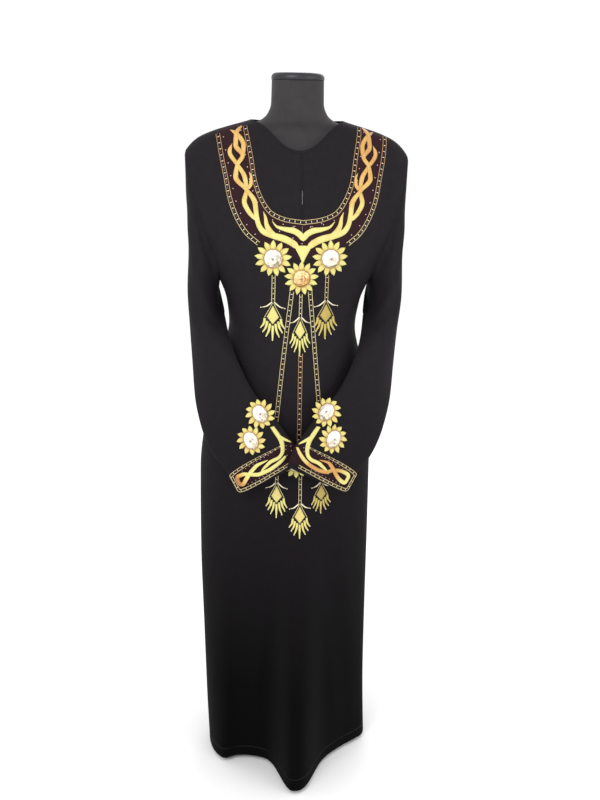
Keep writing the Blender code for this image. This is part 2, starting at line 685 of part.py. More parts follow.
def front_surface(x, height):
    """A point of the front cloth and its outward normal, from the steps to points nearby."""
    step = 0.001
    x = np.asarray(x, float)
    height = np.asarray(height, float)
    across = cloth_point(x + step, height, -1) - cloth_point(x - step, height, -1)
    up = cloth_point(x, height + step, -1) - cloth_point(x, height - step, -1)
    normal = np.cross(across, up)
    normal = normal / np.linalg.norm(normal, axis=-1, keepdims=True)
    return cloth_point(x, height, -1), normal


def sleeve_point(side, along, row):
    """A point on the front of a sleeve: a share of the way across it, and a section number.

    The share runs from the outer fold (0) to the inner fold (1), and row 1 is the first
    section below the armhole.
    """
    rings = []
    last = len(SLEEVE_SECTIONS) - 1
    turn = math.acos(1 - 2 * min(max(along, 0.0), 1.0)) / (2 * math.pi)
    fine = 720
    for index, section in enumerate(SLEEVE_SECTIONS):
        near = max(0.0, 1 - (last - index) / CUFF_LAP_ROWS)
        rings.append(sleeve_ring(section, side, side * CUFF_LAP * near, fine)[round(turn * fine)])
    rings = np.array(rings)
    places = np.arange(1, last + 2)
    return np.array([float(smooth_curve(places, rings[:, axis], row)) for axis in range(3)])


def sleeve_surface(side, along, row):
    """A point on the front of a sleeve, with its outward normal."""
    step = 0.02
    across = sleeve_point(side, along + step, row) - sleeve_point(side, along - step, row)
    down = sleeve_point(side, along, row + step) - sleeve_point(side, along, row - step)
    normal = unit(np.cross(across, down))
    if normal[1] > 0:
        normal = -normal
    return sleeve_point(side, along, row), normal


def cuff_surface(side, along, up):
    """A point of a cuff's front and its normal, at a distance up from the opening."""
    return sleeve_surface(side, along, len(SLEEVE_SECTIONS) - up / CUFF_ROW_HEIGHT)


def path_through(rows, step, scale=(1.0, 1.0)):
    """Evenly spaced values along a smooth path through a table's rows.

    The distance along the path is measured over the first two columns, in metres.
    """
    values = np.array(rows, float)
    runs = np.linalg.norm(np.diff(values[:, :2] * scale, axis=0), axis=1)
    places = np.concatenate([[0], np.cumsum(runs)])
    count = max(3, int(round(places[-1] / step)) + 1)
    fine = np.linspace(0, places[-1], count)
    return np.stack([smooth_curve(places, values[:, k], fine) for k in range(values.shape[1])], axis=1)


def settle(points, normals, edges, skin, missing):
    """How far each point of a piece must move out so that the piece clears the cloth.

    A point lies on the cloth's facets, and both ends of an edge move out further where the
    cloth would come closer than half the lift to it.
    """
    heights = [max(cloth_above(skin, *pair, missing), missing) for pair in zip(points, normals)]
    for _ in range(SETTLE_PASSES):
        for one, two in edges:
            start = points[one] + normals[one] * heights[one]
            finish = points[two] + normals[two] * heights[two]
            for share in (0.25, 0.5, 0.75):
                at = start + (finish - start) * share
                out = unit(normals[one] * (1 - share) + normals[two] * share)
                short = cloth_above(skin, at, out, -FEEL) - LIFT / 2
                if short > 0:
                    heights[one] += short
                    heights[two] += short
    return np.array(heights)


def ribbon(name, laid, widths, lift, rise, crown, material):
    """A raised strip on cloth along a path: flat below, with a top that is narrower.

    A crown of 0 gives a ridge, and a crown of 1 a flat band.
    """
    points, normals, skin = laid
    count = len(points)
    run = np.gradient(points, axis=0)
    across = np.cross(normals, run)
    across = across / np.linalg.norm(across, axis=1, keepdims=True)
    wide = across * np.asarray(widths)[:, None] / 2
    under = np.concatenate([points - wide, points + wide])
    edges = [(place, place + count) for place in range(count)]
    for place in range(count - 1):
        ends = (place, place + count)
        edges += [(one, two + 1) for one in ends for two in ends]
    heights = settle(under, np.concatenate([normals, normals]), edges, skin, -FEEL)
    heights = np.maximum(heights[:count], heights[count:])
    lift = (np.broadcast_to(lift, (count,)) + heights)[:, None]
    low = points + normals * lift
    high = points + normals * (lift + rise)
    if crown > 0:
        rings = np.stack([low - wide, low + wide, high + wide * crown, high - wide * crown], axis=1)
    else:
        rings = np.stack([low - wide, low + wide, high], axis=1)
    return tube(name, rings, material)


def tube(name, rings, material):
    """A closed solid through rings of points, with flat ends."""
    rows, sides = rings.shape[:2]
    faces = []
    for row in range(rows - 1):
        for place in range(sides):
            after = (place + 1) % sides
            low = row * sides
            faces.append([low + place, low + after, low + sides + after, low + sides + place])
    faces.append(list(range(sides)))
    faces.append([(rows - 1) * sides + place for place in range(sides)])
    return solid(name, rings.reshape(-1, 3), faces, material)


def tapered(count, width, ends, tips=(0.25, 0.25)):
    """Widths along a stroke: full in the middle, drawn in over a share of it at its ends."""
    place = np.linspace(0, 1, count)
    start = tips[0] + (1 - tips[0]) * np.clip(place / max(ends[0], 1e-6), 0, 1)
    finish = tips[1] + (1 - tips[1]) * np.clip((1 - place) / max(ends[1], 1e-6), 0, 1)
    return width * np.minimum(start, finish)


def worn(across, height):
    """Where the stitching round the neck lies as worn: to one side, and drawn in on the left."""
    eased = np.clip((-across - NECKBAND_EASES_FROM) / NECKBAND_EASES_OVER, 0, 1)
    return across + (height > NECKBAND_FOOT) * (NECKBAND_SHIFT + NECKBAND_EASE * eased)


def on_front(rows, side, skin):
    """Points and normals of a path on the front, mirrored to one side of the embroidery."""
    points, normals = front_surface(EMBROIDERY_CENTRE + worn(side * rows[:, 0], rows[:, 1]), rows[:, 1])
    return points, normals, skin


def make_chain(name, rows, side, skin):
    widths = np.full(len(rows), CHAIN_WIDTH)
    ribbon(name, on_front(rows, side, skin), widths, LIFT, CHAIN_RISE, CHAIN_CROWN, chain_thread())


def both_halves(half):
    """A path over both sides, from its left end over the middle to its right end."""
    return np.concatenate([half * (-1, 1), half[-2::-1]])


def make_chains(skin):
    """The chain trims: round the neck, beside the vines, and down the front."""
    make_chain("chain_inner", both_halves(path_through(CHAIN_INNER, CHAIN_STEP)), 1, skin)
    for side, word in ((-1, "left"), (1, "right")):
        make_chain("chain_outer_" + word, path_through(CHAIN_OUTER, CHAIN_STEP), side, skin)
        make_chain("chain_front_" + word, path_through(CHAIN_FRONT_SIDE, 2 * CHAIN_STEP), side, skin)
    make_chain("chain_front_middle", path_through(CHAIN_FRONT_MIDDLE, 2 * CHAIN_STEP), 1, skin)


def make_strand(name, rows, side, skin, width, ends, tips):
    """A padded strand on the front, drawn in at its ends, lifted where it passes over."""
    lift = LIFT + (OVER * rows[:, 2] if rows.shape[1] > 2 else 0)
    widths = tapered(len(rows), width, ends, tips)
    ribbon(name, on_front(rows, side, skin), widths, lift, STRAND_RISE, 0, gold_thread())


def make_chest_vines(skin):
    """The strands beside the neck, the sweeps to the middle, the crescent and the leaves."""
    for side, word in ((-1, "left"), (1, "right")):
        for name, table, width, ends, tips in (
            ("vine_inner_", VINE_INNER, STRAND_WIDTH, (0.04, 0.04), (0.6, 0.9)),
            ("vine_outer_", VINE_OUTER, STRAND_WIDTH, (0.2, 0.2), (0.2, 0.5)),
            ("vine_shoulder_", VINE_SHOULDER, STRAND_WIDTH, (0.2, 0.3), (0.6, 0.3)),
            ("leaf_upper_", LEAF_UPPER, LEAF_WIDTH, (0.5, 0.5), (0.2, 0.3)),
            ("leaf_lower_", LEAF_LOWER, LEAF_WIDTH, (0.5, 0.5), (0.2, 0.6)),
        ):
            make_strand(name + word, path_through(table, STRAND_STEP), side, skin, width, ends, tips)
    both = both_halves(path_through(CRESCENT, STRAND_STEP))
    make_strand("crescent", both, 1, skin, CRESCENT_WIDTH, (0.45, 0.45), (0.2, 0.2))
    right = [(u, height - FUNNEL[0][1]) for u, height in FUNNEL]
    outline = right + [(-u, v) for u, v in right[:0:-1]]
    seat = front_seat(NECKBAND_SHIFT, FUNNEL[0][1])
    slab("funnel", outline, [(0.0, v) for v in FUNNEL_SPINE], seat, STRAND_RISE, skin)


def on_cuff(rows, side, skin):
    found = [cuff_surface(side, row[0], row[1]) for row in rows]
    return np.array([point for point, _ in found]), np.array([normal for _, normal in found]), skin


def make_cuff_trims(skins):
    """On each cuff: the chain round the band, the looped vine, the stalk and its leaf."""
    stretch = np.array([math.dist(SLEEVE_SECTIONS[-1].outer, SLEEVE_SECTIONS[-1].inner), 1.0])
    for side, word, loop in ((-1, "left", CUFF_LOOP_LEFT), (1, "right", CUFF_LOOP_RIGHT)):
        rows = path_through(CUFF_CHAIN, CHAIN_STEP * CUFF_STEP, stretch)
        widths = np.full(len(rows), CUFF_CHAIN_WIDTH)
        ribbon("cuff_chain_" + word, on_cuff(rows, side, skins[side]), widths, LIFT, CHAIN_RISE,
               CHAIN_CROWN, chain_thread())
        for name, table, ends, tips in (
            ("cuff_vine_", loop, (0.12, 0.08), (0.3, 0.6)),
            ("cuff_stalk_", CUFF_STALK, (0.1, 0.15), (0.8, 0.3)),
            ("cuff_leaf_", CUFF_LEAF, (0.3, 0.5), (0.8, 0.4)),
        ):
            rows = path_through(table, STRAND_STEP * CUFF_STEP, stretch)
            widths = tapered(len(rows), CUFF_STRAND_WIDTH, ends, tips)
            ribbon(name + word, on_cuff(rows, side, skins[side]), widths, LIFT + OVER * rows[:, 2],
                   STRAND_RISE, 0, gold_thread())


def front_seat(across, height):
    """How a piece lies on the front: it follows the cloth at every point."""
    def seat(u, v):
        return front_surface(EMBROIDERY_CENTRE + across + u, height + v)
    return seat


def sleeve_seat(side, along, row):
    """How a stiff piece lies on a sleeve: level with one point of it."""
    middle, normal = sleeve_surface(side, along, row)
    up = sleeve_point(side, along, row - 0.1) - middle
    up = unit(up - normal * np.dot(up, normal))
    right = np.cross(up, normal)

    def seat(u, v):
        return middle + right * u + up * v, normal
    return seat


def oval(turn, share, lean):
    """A place on an oval of half sizes share times narrow and tall, turned by its lean."""
    u = share * OVAL_NARROW * math.sin(turn)
    v = share * OVAL_TALL * math.cos(turn)
    return (u * math.cos(lean) + v * math.sin(lean), v * math.cos(lean) - u * math.sin(lean))


def plate(name, flat, rises, faces, rim, seat, skin, missing):
    """A shape on cloth with the same points below and on top, and walls round its rim."""
    laid = [seat(u, v) for u, v in flat]
    points = np.array([point for point, _ in laid])
    normals = np.array([normal for _, normal in laid])
    edges = {tuple(sorted((face[k - 1], face[k]))) for face in faces for k in range(len(face))}
    heights = settle(points, normals, sorted(edges), skin, missing) + LIFT
    low = points + normals * heights[:, None]
    top = low + normals * np.asarray(rises)[:, None]
    count = len(flat)
    under = [[corner + count for corner in face[::-1]] for face in faces]
    walls = [[one, two, two + count, one + count] for one, two in rim]
    solid(name, np.concatenate([top, low]), faces + under + walls, gold_thread())
    return top


def make_flower(name, seat, size, lean, skin, missing):
    """A rosette: a flat seat, and petals with a ridge each.  Its middle and seat are returned."""
    count = 2 * size.petals
    turns = [2 * math.pi * place / count for place in range(count)]
    flat = [(0.0, 0.0)]
    flat += [seat_ring(turn, size.seat, lean) for turn in turns]
    rises = [SEAT_RISE] * (1 + count)
    for tip, valley, crest, trough in (
        (PETAL_CREST, PETAL_TROUGH, PETAL_RISE, PETAL_EDGE),
        (1.0, PETAL_VALLEY, PETAL_EDGE, PETAL_EDGE),
    ):
        for place, turn in enumerate(turns):
            reach = size.radius * (tip if place % 2 == 0 else valley)
            flat.append((reach * math.sin(turn), reach * math.cos(turn)))
            rises.append(crest if place % 2 == 0 else trough)
    faces = []
    for place in range(count):
        after = (place + 1) % count
        faces.append([0, 1 + place, 1 + after])
        for ring in (0, 1):
            low, high = 1 + ring * count, 1 + (ring + 1) * count
            if place % 2 == 0:
                faces += [[low + place, high + place, low + after], [low + after, high + place, high + after]]
            else:
                faces += [[low + place, high + place, high + after], [low + place, high + after, low + after]]
    edge = 1 + 2 * count
    rim = [(edge + place, edge + (place + 1) % count) for place in range(count)]
    return plate("flower_" + name, flat, rises, faces, rim, seat, skin, missing)[:1 + count]


def seat_ring(turn, reach, lean):
    """A place round a stone: a circle, or an oval that leans to one side."""
    if lean is None:
        return reach * math.sin(turn), reach * math.cos(turn)
    return oval(turn, reach, lean)


def make_stone(name, seat, size, lean, bed, material):
    """A stone with a flat back, a girdle, a crown and a table, just above its flower's seat."""
    middle = seat(0.0, 0.0)[0]
    up = unit(seat(0.0, size.seat)[0] - seat(0.0, -size.seat)[0])
    right = seat(size.seat, 0.0)[0] - seat(-size.seat, 0.0)[0]
    normal = unit(np.cross(right, up))
    right = np.cross(up, normal)
    base = max(np.dot(point - middle, normal) for point in bed) + 1.5 * SEAM
    rings = []
    for share, rise in STONE_LEVELS:
        ring = []
        for place in range(STONE_SIDES):
            turn = 2 * math.pi * place / STONE_SIDES
            u, v = seat_ring(turn, size.seat * STONE_FIT * share, lean)
            ring.append(middle + right * u + up * v + normal * (base + rise * STONE_RISE))
        rings.append(ring)
    tube("stone_" + name, np.array(rings), material)


def slab(name, outline, inside, seat, rise, skin):
    """A flat shape cut into small triangles, so that it follows the cloth, with its walls."""
    flat = [Vector((u, v)) for u, v in list(outline) + list(inside)]
    edges = [(place, (place + 1) % len(outline)) for place in range(len(outline))]
    flat, _, faces, _, _, _ = delaunay_2d_cdt(flat, edges, [], 1, 1e-6)
    if len(flat) != len(outline) + len(inside):
        raise ValueError("the outline of %s crosses itself" % name)
    flat = [(place.x, place.y) for place in flat]
    plate(name, flat, [rise] * len(flat), [list(face) for face in faces], edges, seat, skin, 0.0)


def make_drop(drop, skin):
    """A drop: its stem, arms, diamond and rays as one flat shape."""
    top = drop.top - drop.fork
    stem = [(DROP_STEM * drop.wide, top * share) for share in (1.0, 0.75, 0.5, 0.25)]
    right = stem + [(u * drop.wide, v * drop.long) for u, v in DROP_OUTLINE]
    outline = right + [(-u, v) for u, v in right[-2::-1]]
    spine = [(0.0, v * drop.long) for v in DROP_SPINE]
    slab("drop_" + drop.name, outline, spine, front_seat(drop.across, drop.fork), DROP_RISE, skin)


def make_flowers_and_drops(skins):
    for flower in FRONT_FLOWERS:
        seat = front_seat(flower.across, flower.height)
        bed = make_flower(flower.name, seat, flower.size, None, skins[0], 0.0)
        stone = amber_stone() if flower.name == "chest_middle" else clear_stone()
        make_stone(flower.name, seat, flower.size, None, bed, stone)
    for side, word in ((-1, "left"), (1, "right")):
        for flower in CUFF_FLOWERS:
            seat = sleeve_seat(side, flower.along, flower.row)
            name = "cuff_%s_%s" % (word, flower.name)
            lean = side * OVAL_LEAN
            bed = make_flower(name, seat, CUFF_FLOWER, lean, skins[side], -STIFF_SAG)
            make_stone(name, seat, CUFF_FLOWER, lean, bed, clear_stone())
    for drop in DROPS:
        make_drop(drop, skins[0])


def make_binding(panels, skin):
    """The narrow binding: a flat band on the cloth, all round the neckline."""
    first = SHOULDER_COLUMNS
    last = first + NECK_COLUMNS
    edges = {}
    for side in (-1, 1):
        normals = -side * row_normals(panels[side], False)
        top = panels[side][-1, first:last + 1]
        down = (panels[side][-2, first:last + 1] - top) * BINDING_WIDTH
        edges[side] = (top, down, normals[-1, first:last + 1])
    places = [(-1, place) for place in range(NECK_COLUMNS + 1)]
    places += [(1, place) for place in range(NECK_COLUMNS - 1, 0, -1)]
    middles, ways, outs = [], [], []
    for side, place in places:
        top, down, out = (part[place] for part in edges[side])
        if place in (0, NECK_COLUMNS):
            down = (down + edges[-side][1][place]) / 2
            out = unit(out + edges[-side][2][place])
        middles.append(top + down / 2)
        ways.append(down / 2)
        outs.append(out)
    count = len(places)
    middles, ways, outs = np.array(middles), np.array(ways), np.array(outs)
    under = np.concatenate([middles - ways * 0.9, middles + ways])
    edges = [(place, place + count) for place in range(count)]
    for place in range(count):
        after = (place + 1) % count
        edges += [(one, two) for one in (place, place + count) for two in (after, after + count)]
    heights = settle(under, np.concatenate([outs, outs]), edges, skin, -FEEL)
    heights = np.maximum(heights[:count], heights[count:])[:, None] + LIFT
    low = outs * heights
    high = outs * (heights + BINDING_RISE)
    near, far = under[:count], under[count:]
    rings = np.stack([near + low, far + low, far + high, near + high], axis=1)
    faces = []
    for row in range(count):
        after = (row + 1) % count
        for place in range(4):
            step = (place + 1) % 4
            faces.append([4 * row + place, 4 * row + step, 4 * after + step, 4 * after + place])
    solid("neck_binding", rings.reshape(-1, 3), faces, black_cloth())


def form_ring(section):
    """A level ring of the dress form: a rounded ellipse, deeper in front than behind."""
    angle = 2 * math.pi * np.arange(FORM_SIDES) / FORM_SIDES
    across = np.sign(np.cos(angle)) * np.abs(np.cos(angle)) ** (2 / ROUNDNESS)
    deep = np.sign(np.sin(angle)) * np.abs(np.sin(angle)) ** (2 / ROUNDNESS)
    depth = np.where(deep > 0, section.back, section.front)
    ring = [section.half * across, SHOULDER_SEAM_Y + depth * deep, np.full(FORM_SIDES, section.height)]
    return np.stack(ring, axis=-1)


def make_form():
    """The form's torso, closed below at the hips and above at the neck."""
    rings = np.array([form_ring(section) for section in FORM_SECTIONS])
    rows = len(rings)
    points = rings.reshape(-1, 3)
    faces = []
    for row in range(rows - 1):
        for place in range(FORM_SIDES):
            after = (place + 1) % FORM_SIDES
            low = row * FORM_SIDES
            high = low + FORM_SIDES
            faces.append([low + place, low + after, high + after, high + place])
    faces.append(list(range(FORM_SIDES)))
    faces.append([(rows - 1) * FORM_SIDES + place for place in range(FORM_SIDES)])
    solid("form_torso", points, faces, form_jersey())


def turned(name, profile, sides, material, centre_y=0.0):
    """A closed turned solid from a profile of (radius, height) pairs, bottom to top."""
    angle = 2 * math.pi * np.arange(sides) / sides
    points = []
    for radius, height in profile:
        for turn in angle:
            points.append((radius * math.cos(turn), centre_y + radius * math.sin(turn), height))
    faces = []
    for row in range(len(profile) - 1):
        for place in range(sides):
            after = (place + 1) % sides
            low = row * sides
            faces.append([low + place, low + after, low + sides + after, low + sides + place])
    faces.append(list(range(sides)))
    faces.append([(len(profile) - 1) * sides + place for place in range(sides)])
    return solid(name, points, faces, material)


def make_stand():
    """The neck cap, the pole and the round base with its collar."""
    neck_top = FORM_SECTIONS[-1].height + SEAM
    turned("neck_cap", (
        (CAP_RADIUS, neck_top),
        (CAP_RADIUS, neck_top + CAP_HEIGHT * 0.6),
        (CAP_RADIUS * 0.85, neck_top + CAP_HEIGHT),
    ), CAP_SIDES, stand_metal(), SHOULDER_SEAM_Y)
    top = BASE_HEIGHT + COLLAR_HEIGHT
    turned("base", (
        (BASE_RADIUS - EDGE_ROUND, 0.0),
        (BASE_RADIUS, EDGE_ROUND),
        (BASE_RADIUS, BASE_HEIGHT - EDGE_ROUND),
        (BASE_RADIUS - EDGE_ROUND, BASE_HEIGHT),
        (COLLAR_RADIUS, BASE_HEIGHT + BASE_SLOPE),
        (COLLAR_RADIUS * 0.8, top),
    ), BASE_SIDES, stand_metal())
    turned("pole", (
        (POLE_RADIUS, top + SEAM),
        (POLE_RADIUS, FORM_SECTIONS[0].height - SEAM),
    ), POLE_SIDES, stand_metal())


def main():
    clear_scene()
    panels, skins = make_body()
    make_binding(panels, skins[0])
    make_chains(skins[0])
    make_chest_vines(skins[0])
    make_cuff_trims(skins)
    make_flowers_and_drops(skins)
    make_form()
    make_stand()


main()
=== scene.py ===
"""The looks of a floor-length embroidered kaftan, worn by a limbless dress form.

Metres, +Z up.  The front faces -Y.  Left and right are as seen from the front, with left at -X.
The cloth, the form and the embroidery follow the part's own sizes, and are worked out finely.
"""
import math
from collections import namedtuple

import bpy
import numpy as np
from mathutils import Matrix, Vector


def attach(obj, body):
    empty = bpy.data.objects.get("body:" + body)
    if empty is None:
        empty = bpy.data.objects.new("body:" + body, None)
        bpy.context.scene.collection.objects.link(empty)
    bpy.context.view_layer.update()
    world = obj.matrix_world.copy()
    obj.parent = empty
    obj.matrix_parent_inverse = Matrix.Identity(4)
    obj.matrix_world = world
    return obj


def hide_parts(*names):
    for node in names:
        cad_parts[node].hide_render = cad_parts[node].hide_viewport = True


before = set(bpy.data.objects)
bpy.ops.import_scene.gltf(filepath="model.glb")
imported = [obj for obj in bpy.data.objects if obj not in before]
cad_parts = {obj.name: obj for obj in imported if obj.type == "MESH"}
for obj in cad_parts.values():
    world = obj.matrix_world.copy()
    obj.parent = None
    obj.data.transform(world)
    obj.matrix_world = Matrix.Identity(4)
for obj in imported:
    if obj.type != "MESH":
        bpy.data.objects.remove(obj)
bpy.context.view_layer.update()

SIDES = ((-1, "left"), (1, "right"))


def rows_of(fields, *rows):
    """A table's rows, with a name for each of their values."""
    row_type = namedtuple("Row", fields)
    return tuple(row_type(*row) for row in rows)


# Driving dimensions of the cloth, as in the part
CLOTH = 0.0016
SEAM = 0.0003
SHOULDER_SEAM_Y = -0.012
HEM_HEIGHT = 0.010
UNDERARM_HEIGHT = 1.090
TIP_HEIGHT = 1.352
TIP_HALF = 0.2235
NECK_POINT_HEIGHT = 1.413
NECK_HALF = 0.095
NECK_FRONT_DEPTH = 0.082
NECK_BACK_DEPTH = 0.060
ROUNDNESS = 2.2

BODY_SECTIONS = rows_of(
    "height centre half front back",
    (0.0, 0.003, 0.183, 0.114, 0.142), (0.15, -0.004, 0.183, 0.117, 0.14),
    (0.3, -0.008, 0.184, 0.12, 0.137), (0.5, -0.012, 0.186, 0.124, 0.132),
    (0.68, -0.013, 0.185, 0.127, 0.127), (0.78, -0.009, 0.179, 0.127, 0.121),
    (0.86, -0.006, 0.165, 0.124, 0.113), (0.94, -0.004, 0.145, 0.121, 0.1),
    (1.0, -0.003, 0.133, 0.121, 0.093), (1.05, -0.002, 0.139, 0.124, 0.093),
    (1.09, -0.001, 0.154, 0.127, 0.097), (1.12, 0.0, 0.172, 0.129, 0.101),
    (1.15, 0.0, 0.19, 0.13, 0.105), (1.2, 0.0, 0.216, 0.127, 0.112),
    (1.25, 0.0, 0.2325, 0.117, 0.112), (1.3, 0.0, 0.238, 0.104, 0.105),
    (1.335, 0.0, 0.2335, 0.092, 0.095), (1.352, 0.0, TIP_HALF, 0.084, 0.088),
    (1.365, 0.0, 0.213, 0.079, 0.082), (1.378, 0.0, 0.197, 0.074, 0.075),
    (1.391, 0.0, 0.168, 0.069, 0.067), (1.4, 0.0, 0.14, 0.065, 0.061),
    (NECK_POINT_HEIGHT, 0.0, NECK_HALF, 0.058, 0.052), (1.43, 0.0, 0.05, 0.04, 0.036),
)

# The cut of the armhole, seen from the front
ARMHOLE = rows_of(
    "height half",
    (UNDERARM_HEIGHT, 0.154), (1.108, 0.1562), (1.135, 0.1625), (1.17, 0.1755), (1.21, 0.19),
    (1.255, 0.2045), (1.295, 0.2155), (1.325, 0.2225), (1.344, 0.225), (TIP_HEIGHT, TIP_HALF),
)

# Folds of the skirt, front and back, as in the part
FOLD = "place spread_left spread_right reach top"
FOLDS = {
    -1: rows_of(
        FOLD,
        (0.003, 0.034, 0.056, 0.118, 0.8), (-0.16, 0.034, 0.03, 0.043, 0.62),
        (0.15, 0.05, 0.04, -0.026, 0.55), (-0.083, 0.026, 0.028, -0.007, 0.6),
    ),
    1: rows_of(
        FOLD,
        (-0.118, 0.03, 0.034, 0.04, 0.78), (-0.058, 0.024, 0.026, -0.022, 0.66),
        (-0.008, 0.03, 0.036, 0.052, 0.84), (0.056, 0.026, 0.024, -0.02, 0.62),
        (0.112, 0.034, 0.03, 0.036, 0.72),
    ),
}
FOLD_SHARPNESS = 2.6
FOLD_RISE = 1.5
FOLD_AT_SIDES = 0.35

# Soft creases in the cloth, too slight for the part: a ridge of a length and width along a
# line that leans by a slope, and how far it stands out
CREASE = "x height slope long wide reach"
CREASES = {
    -1: rows_of(
        CREASE,
        (0.112, 1.03, 0.75, 0.05, 0.011, 0.0032), (0.105, 0.985, 0.5, 0.045, 0.01, 0.0028),
        (0.098, 0.94, -0.35, 0.045, 0.012, 0.0024), (-0.112, 1.035, -0.75, 0.05, 0.011, 0.0034),
        (-0.104, 0.99, -0.55, 0.045, 0.01, 0.003), (-0.099, 0.935, 0.3, 0.048, 0.012, 0.0026),
        (-0.15, 1.165, -1.1, 0.055, 0.01, 0.0024), (0.15, 1.16, 1.1, 0.055, 0.01, 0.0024),
        (-0.12, 0.56, 6.0, 0.19, 0.016, 0.0026), (0.112, 0.48, -7.0, 0.2, 0.018, 0.003),
        (-0.062, 0.33, 9.0, 0.2, 0.014, 0.0022), (0.09, 0.25, -9.0, 0.19, 0.014, 0.0026),
    ),
    1: rows_of(
        CREASE,
        (0.085, 1.02, 0.6, 0.06, 0.011, 0.0034), (-0.085, 1.025, -0.6, 0.06, 0.011, 0.0034),
        (0.06, 0.975, 0.25, 0.065, 0.011, 0.003), (-0.06, 0.98, -0.25, 0.065, 0.011, 0.003),
        (0.0, 0.945, 0.05, 0.06, 0.01, 0.0024), (-0.13, 1.2, -1.3, 0.07, 0.012, 0.003),
        (0.13, 1.2, 1.3, 0.07, 0.012, 0.003), (0.0, 1.24, 8.0, 0.09, 0.016, 0.0022),
        (0.085, 0.42, -8.0, 0.2, 0.014, 0.0026), (-0.09, 0.4, 8.0, 0.2, 0.014, 0.0026),
    ),
}

# Sections of a sleeve below the armhole, for the side at +X
SLEEVE_SECTIONS = rows_of(
    "outer inner front back",
    ((0.2235, 0.0, 1.275), (0.1575, -0.004, 1.064), 0.074, 0.064),
    ((0.215, -0.002, 1.185), (0.1555, -0.015, 1.04), 0.071, 0.056),
    ((0.211, -0.01, 1.09), (0.15, -0.049, 1.01), 0.05, 0.036),
    ((0.209, -0.024, 1.0), (0.133, -0.092, 0.97), 0.036, 0.02),
    ((0.2065, -0.04, 0.925), (0.111, -0.118, 0.926), 0.032, 0.013),
    ((0.203, -0.062, 0.858), (0.085, -0.135, 0.883), 0.03, 0.009),
    ((0.1895, -0.09, 0.795), (0.045, -0.147, 0.838), 0.024, 0.012),
    ((0.165, -0.122, 0.748), (0.015, -0.157, 0.798), 0.019, 0.014),
    ((0.136, -0.146, 0.717), (0.0, -0.163, 0.78), 0.013, 0.012),
    ((0.111, -0.154, 0.6725), (-0.015, -0.167, 0.74), 0.011, 0.011),
)
SLEEVE_FOLLOWS_BODY = 0.5
CUFF_LAP = 0.012
CUFF_LAP_ROWS = 3

# Creases of a sleeve: a place down it (1 is the first section), a place round it in turns
# from the outer fold over the front, how far the crease climbs round it, and its size
SLEEVE_CREASE_SPREAD = 2.4
SLEEVE_CREASES = rows_of(
    "row turn climb long wide reach",
    (3.4, 0.36, 2.2, 0.16, 0.14, 0.0032), (3.9, 0.34, 1.6, 0.15, 0.13, 0.003),
    (4.4, 0.33, 1.0, 0.14, 0.13, 0.003), (4.9, 0.32, 0.4, 0.13, 0.12, 0.0026),
    (5.5, 0.3, -0.6, 0.12, 0.13, 0.0022), (2.3, 0.3, 3.0, 0.14, 0.14, 0.0024),
    (1.3, 0.2, -3.2, 0.14, 0.16, 0.0026), (3.6, 0.8, -2.2, 0.14, 0.16, 0.0024),
    (4.6, 0.78, -1.2, 0.13, 0.15, 0.0024),
)

# How finely the cloth is worked out
SKIRT_ROW_STEP = 0.009
ROWS_BETWEEN = 6
SLEEVE_ROWS_BETWEEN = 10
OUTER_FOLD_ROW = 12
NECK_COLUMNS = 60
SHOULDER_COLUMNS = 28
NECK_SEARCH_FROM = 1.30
NORMAL_STEP = 0.001
CUFF_STEP_ALONG = 0.01
CUFF_STEP_DOWN = 0.03
STIFF_STEP = 0.1
SHARP_EDGE = 50.0
ARMHOLE_STEPS = (len(ARMHOLE) - 1) * ROWS_BETWEEN
SKIRT_ROWS = int(round((UNDERARM_HEIGHT - HEM_HEIGHT) / SKIRT_ROW_STEP))
SKIRT_HEIGHTS = np.linspace(HEM_HEIGHT, UNDERARM_HEIGHT, SKIRT_ROWS + 1)[:-1]

# The embroidery, as in the part.  A place on the front is a distance from its middle and a
# height.  The stitching round the neck lies a little aside, and is drawn in on the left
EMBROIDERY_CENTRE = 0.004
NECKBAND_SHIFT = 0.002
NECKBAND_EASE = 0.003
NECKBAND_EASES_FROM = 0.03
NECKBAND_EASES_OVER = 0.07
NECKBAND_FOOT = 1.12
CHAIN_OUTER = (
    (0.168, 1.385), (0.1615, 1.346), (0.1535, 1.3075), (0.146, 1.2685), (0.1345, 1.2355),
    (0.1137, 1.2016), (0.089, 1.181),
)
CHAIN_INNER = (
    (0.115, 1.401), (0.111, 1.379), (0.104, 1.3415), (0.098, 1.304), (0.087, 1.272),
    (0.064, 1.24), (0.033, 1.2275), (0.0, 1.223),
)
CHAIN_FRONT_SIDE = ((0.018, 1.088), (0.0345, 0.93), (0.047, 0.8))
CHAIN_FRONT_MIDDLE = ((0.0023, 0.96), (0.002, 0.774))

# Strands: a distance and a height, the share of a lift over another, and a share of the width
VINE_INNER = (
    (0.1211, 1.4, 1, 0.55), (0.1318, 1.3865, 1, 0.95), (0.1337, 1.3655, 0, 1.08),
    (0.1202, 1.346, 1, 0.95), (0.1303, 1.3286, 1, 0.88), (0.134, 1.307, 0, 1.12),
    (0.113, 1.2825, 1, 0.86), (0.0968, 1.259, 0, 1.18), (0.094, 1.237, 0, 1.12),
    (0.0905, 1.2205, 0, 1.15), (0.08, 1.205, 0, 1.28), (0.06, 1.1975, 0, 1.42),
    (0.037, 1.1915, 0, 1.55), (0.019, 1.1825, 0, 1.5), (0.0085, 1.173, 0, 1.05),
)
VINE_OUTER = (
    (0.1402, 1.369, 0, 0.15), (0.1455, 1.353, 0, 0.95), (0.1303, 1.3286, 0, 0.88),
    (0.1165, 1.306, 0, 1.05), (0.113, 1.2825, 0, 0.88), (0.1175, 1.261, 0, 1.1),
    (0.109, 1.242, 0, 1.05), (0.0955, 1.227, 0, 0.75),
)
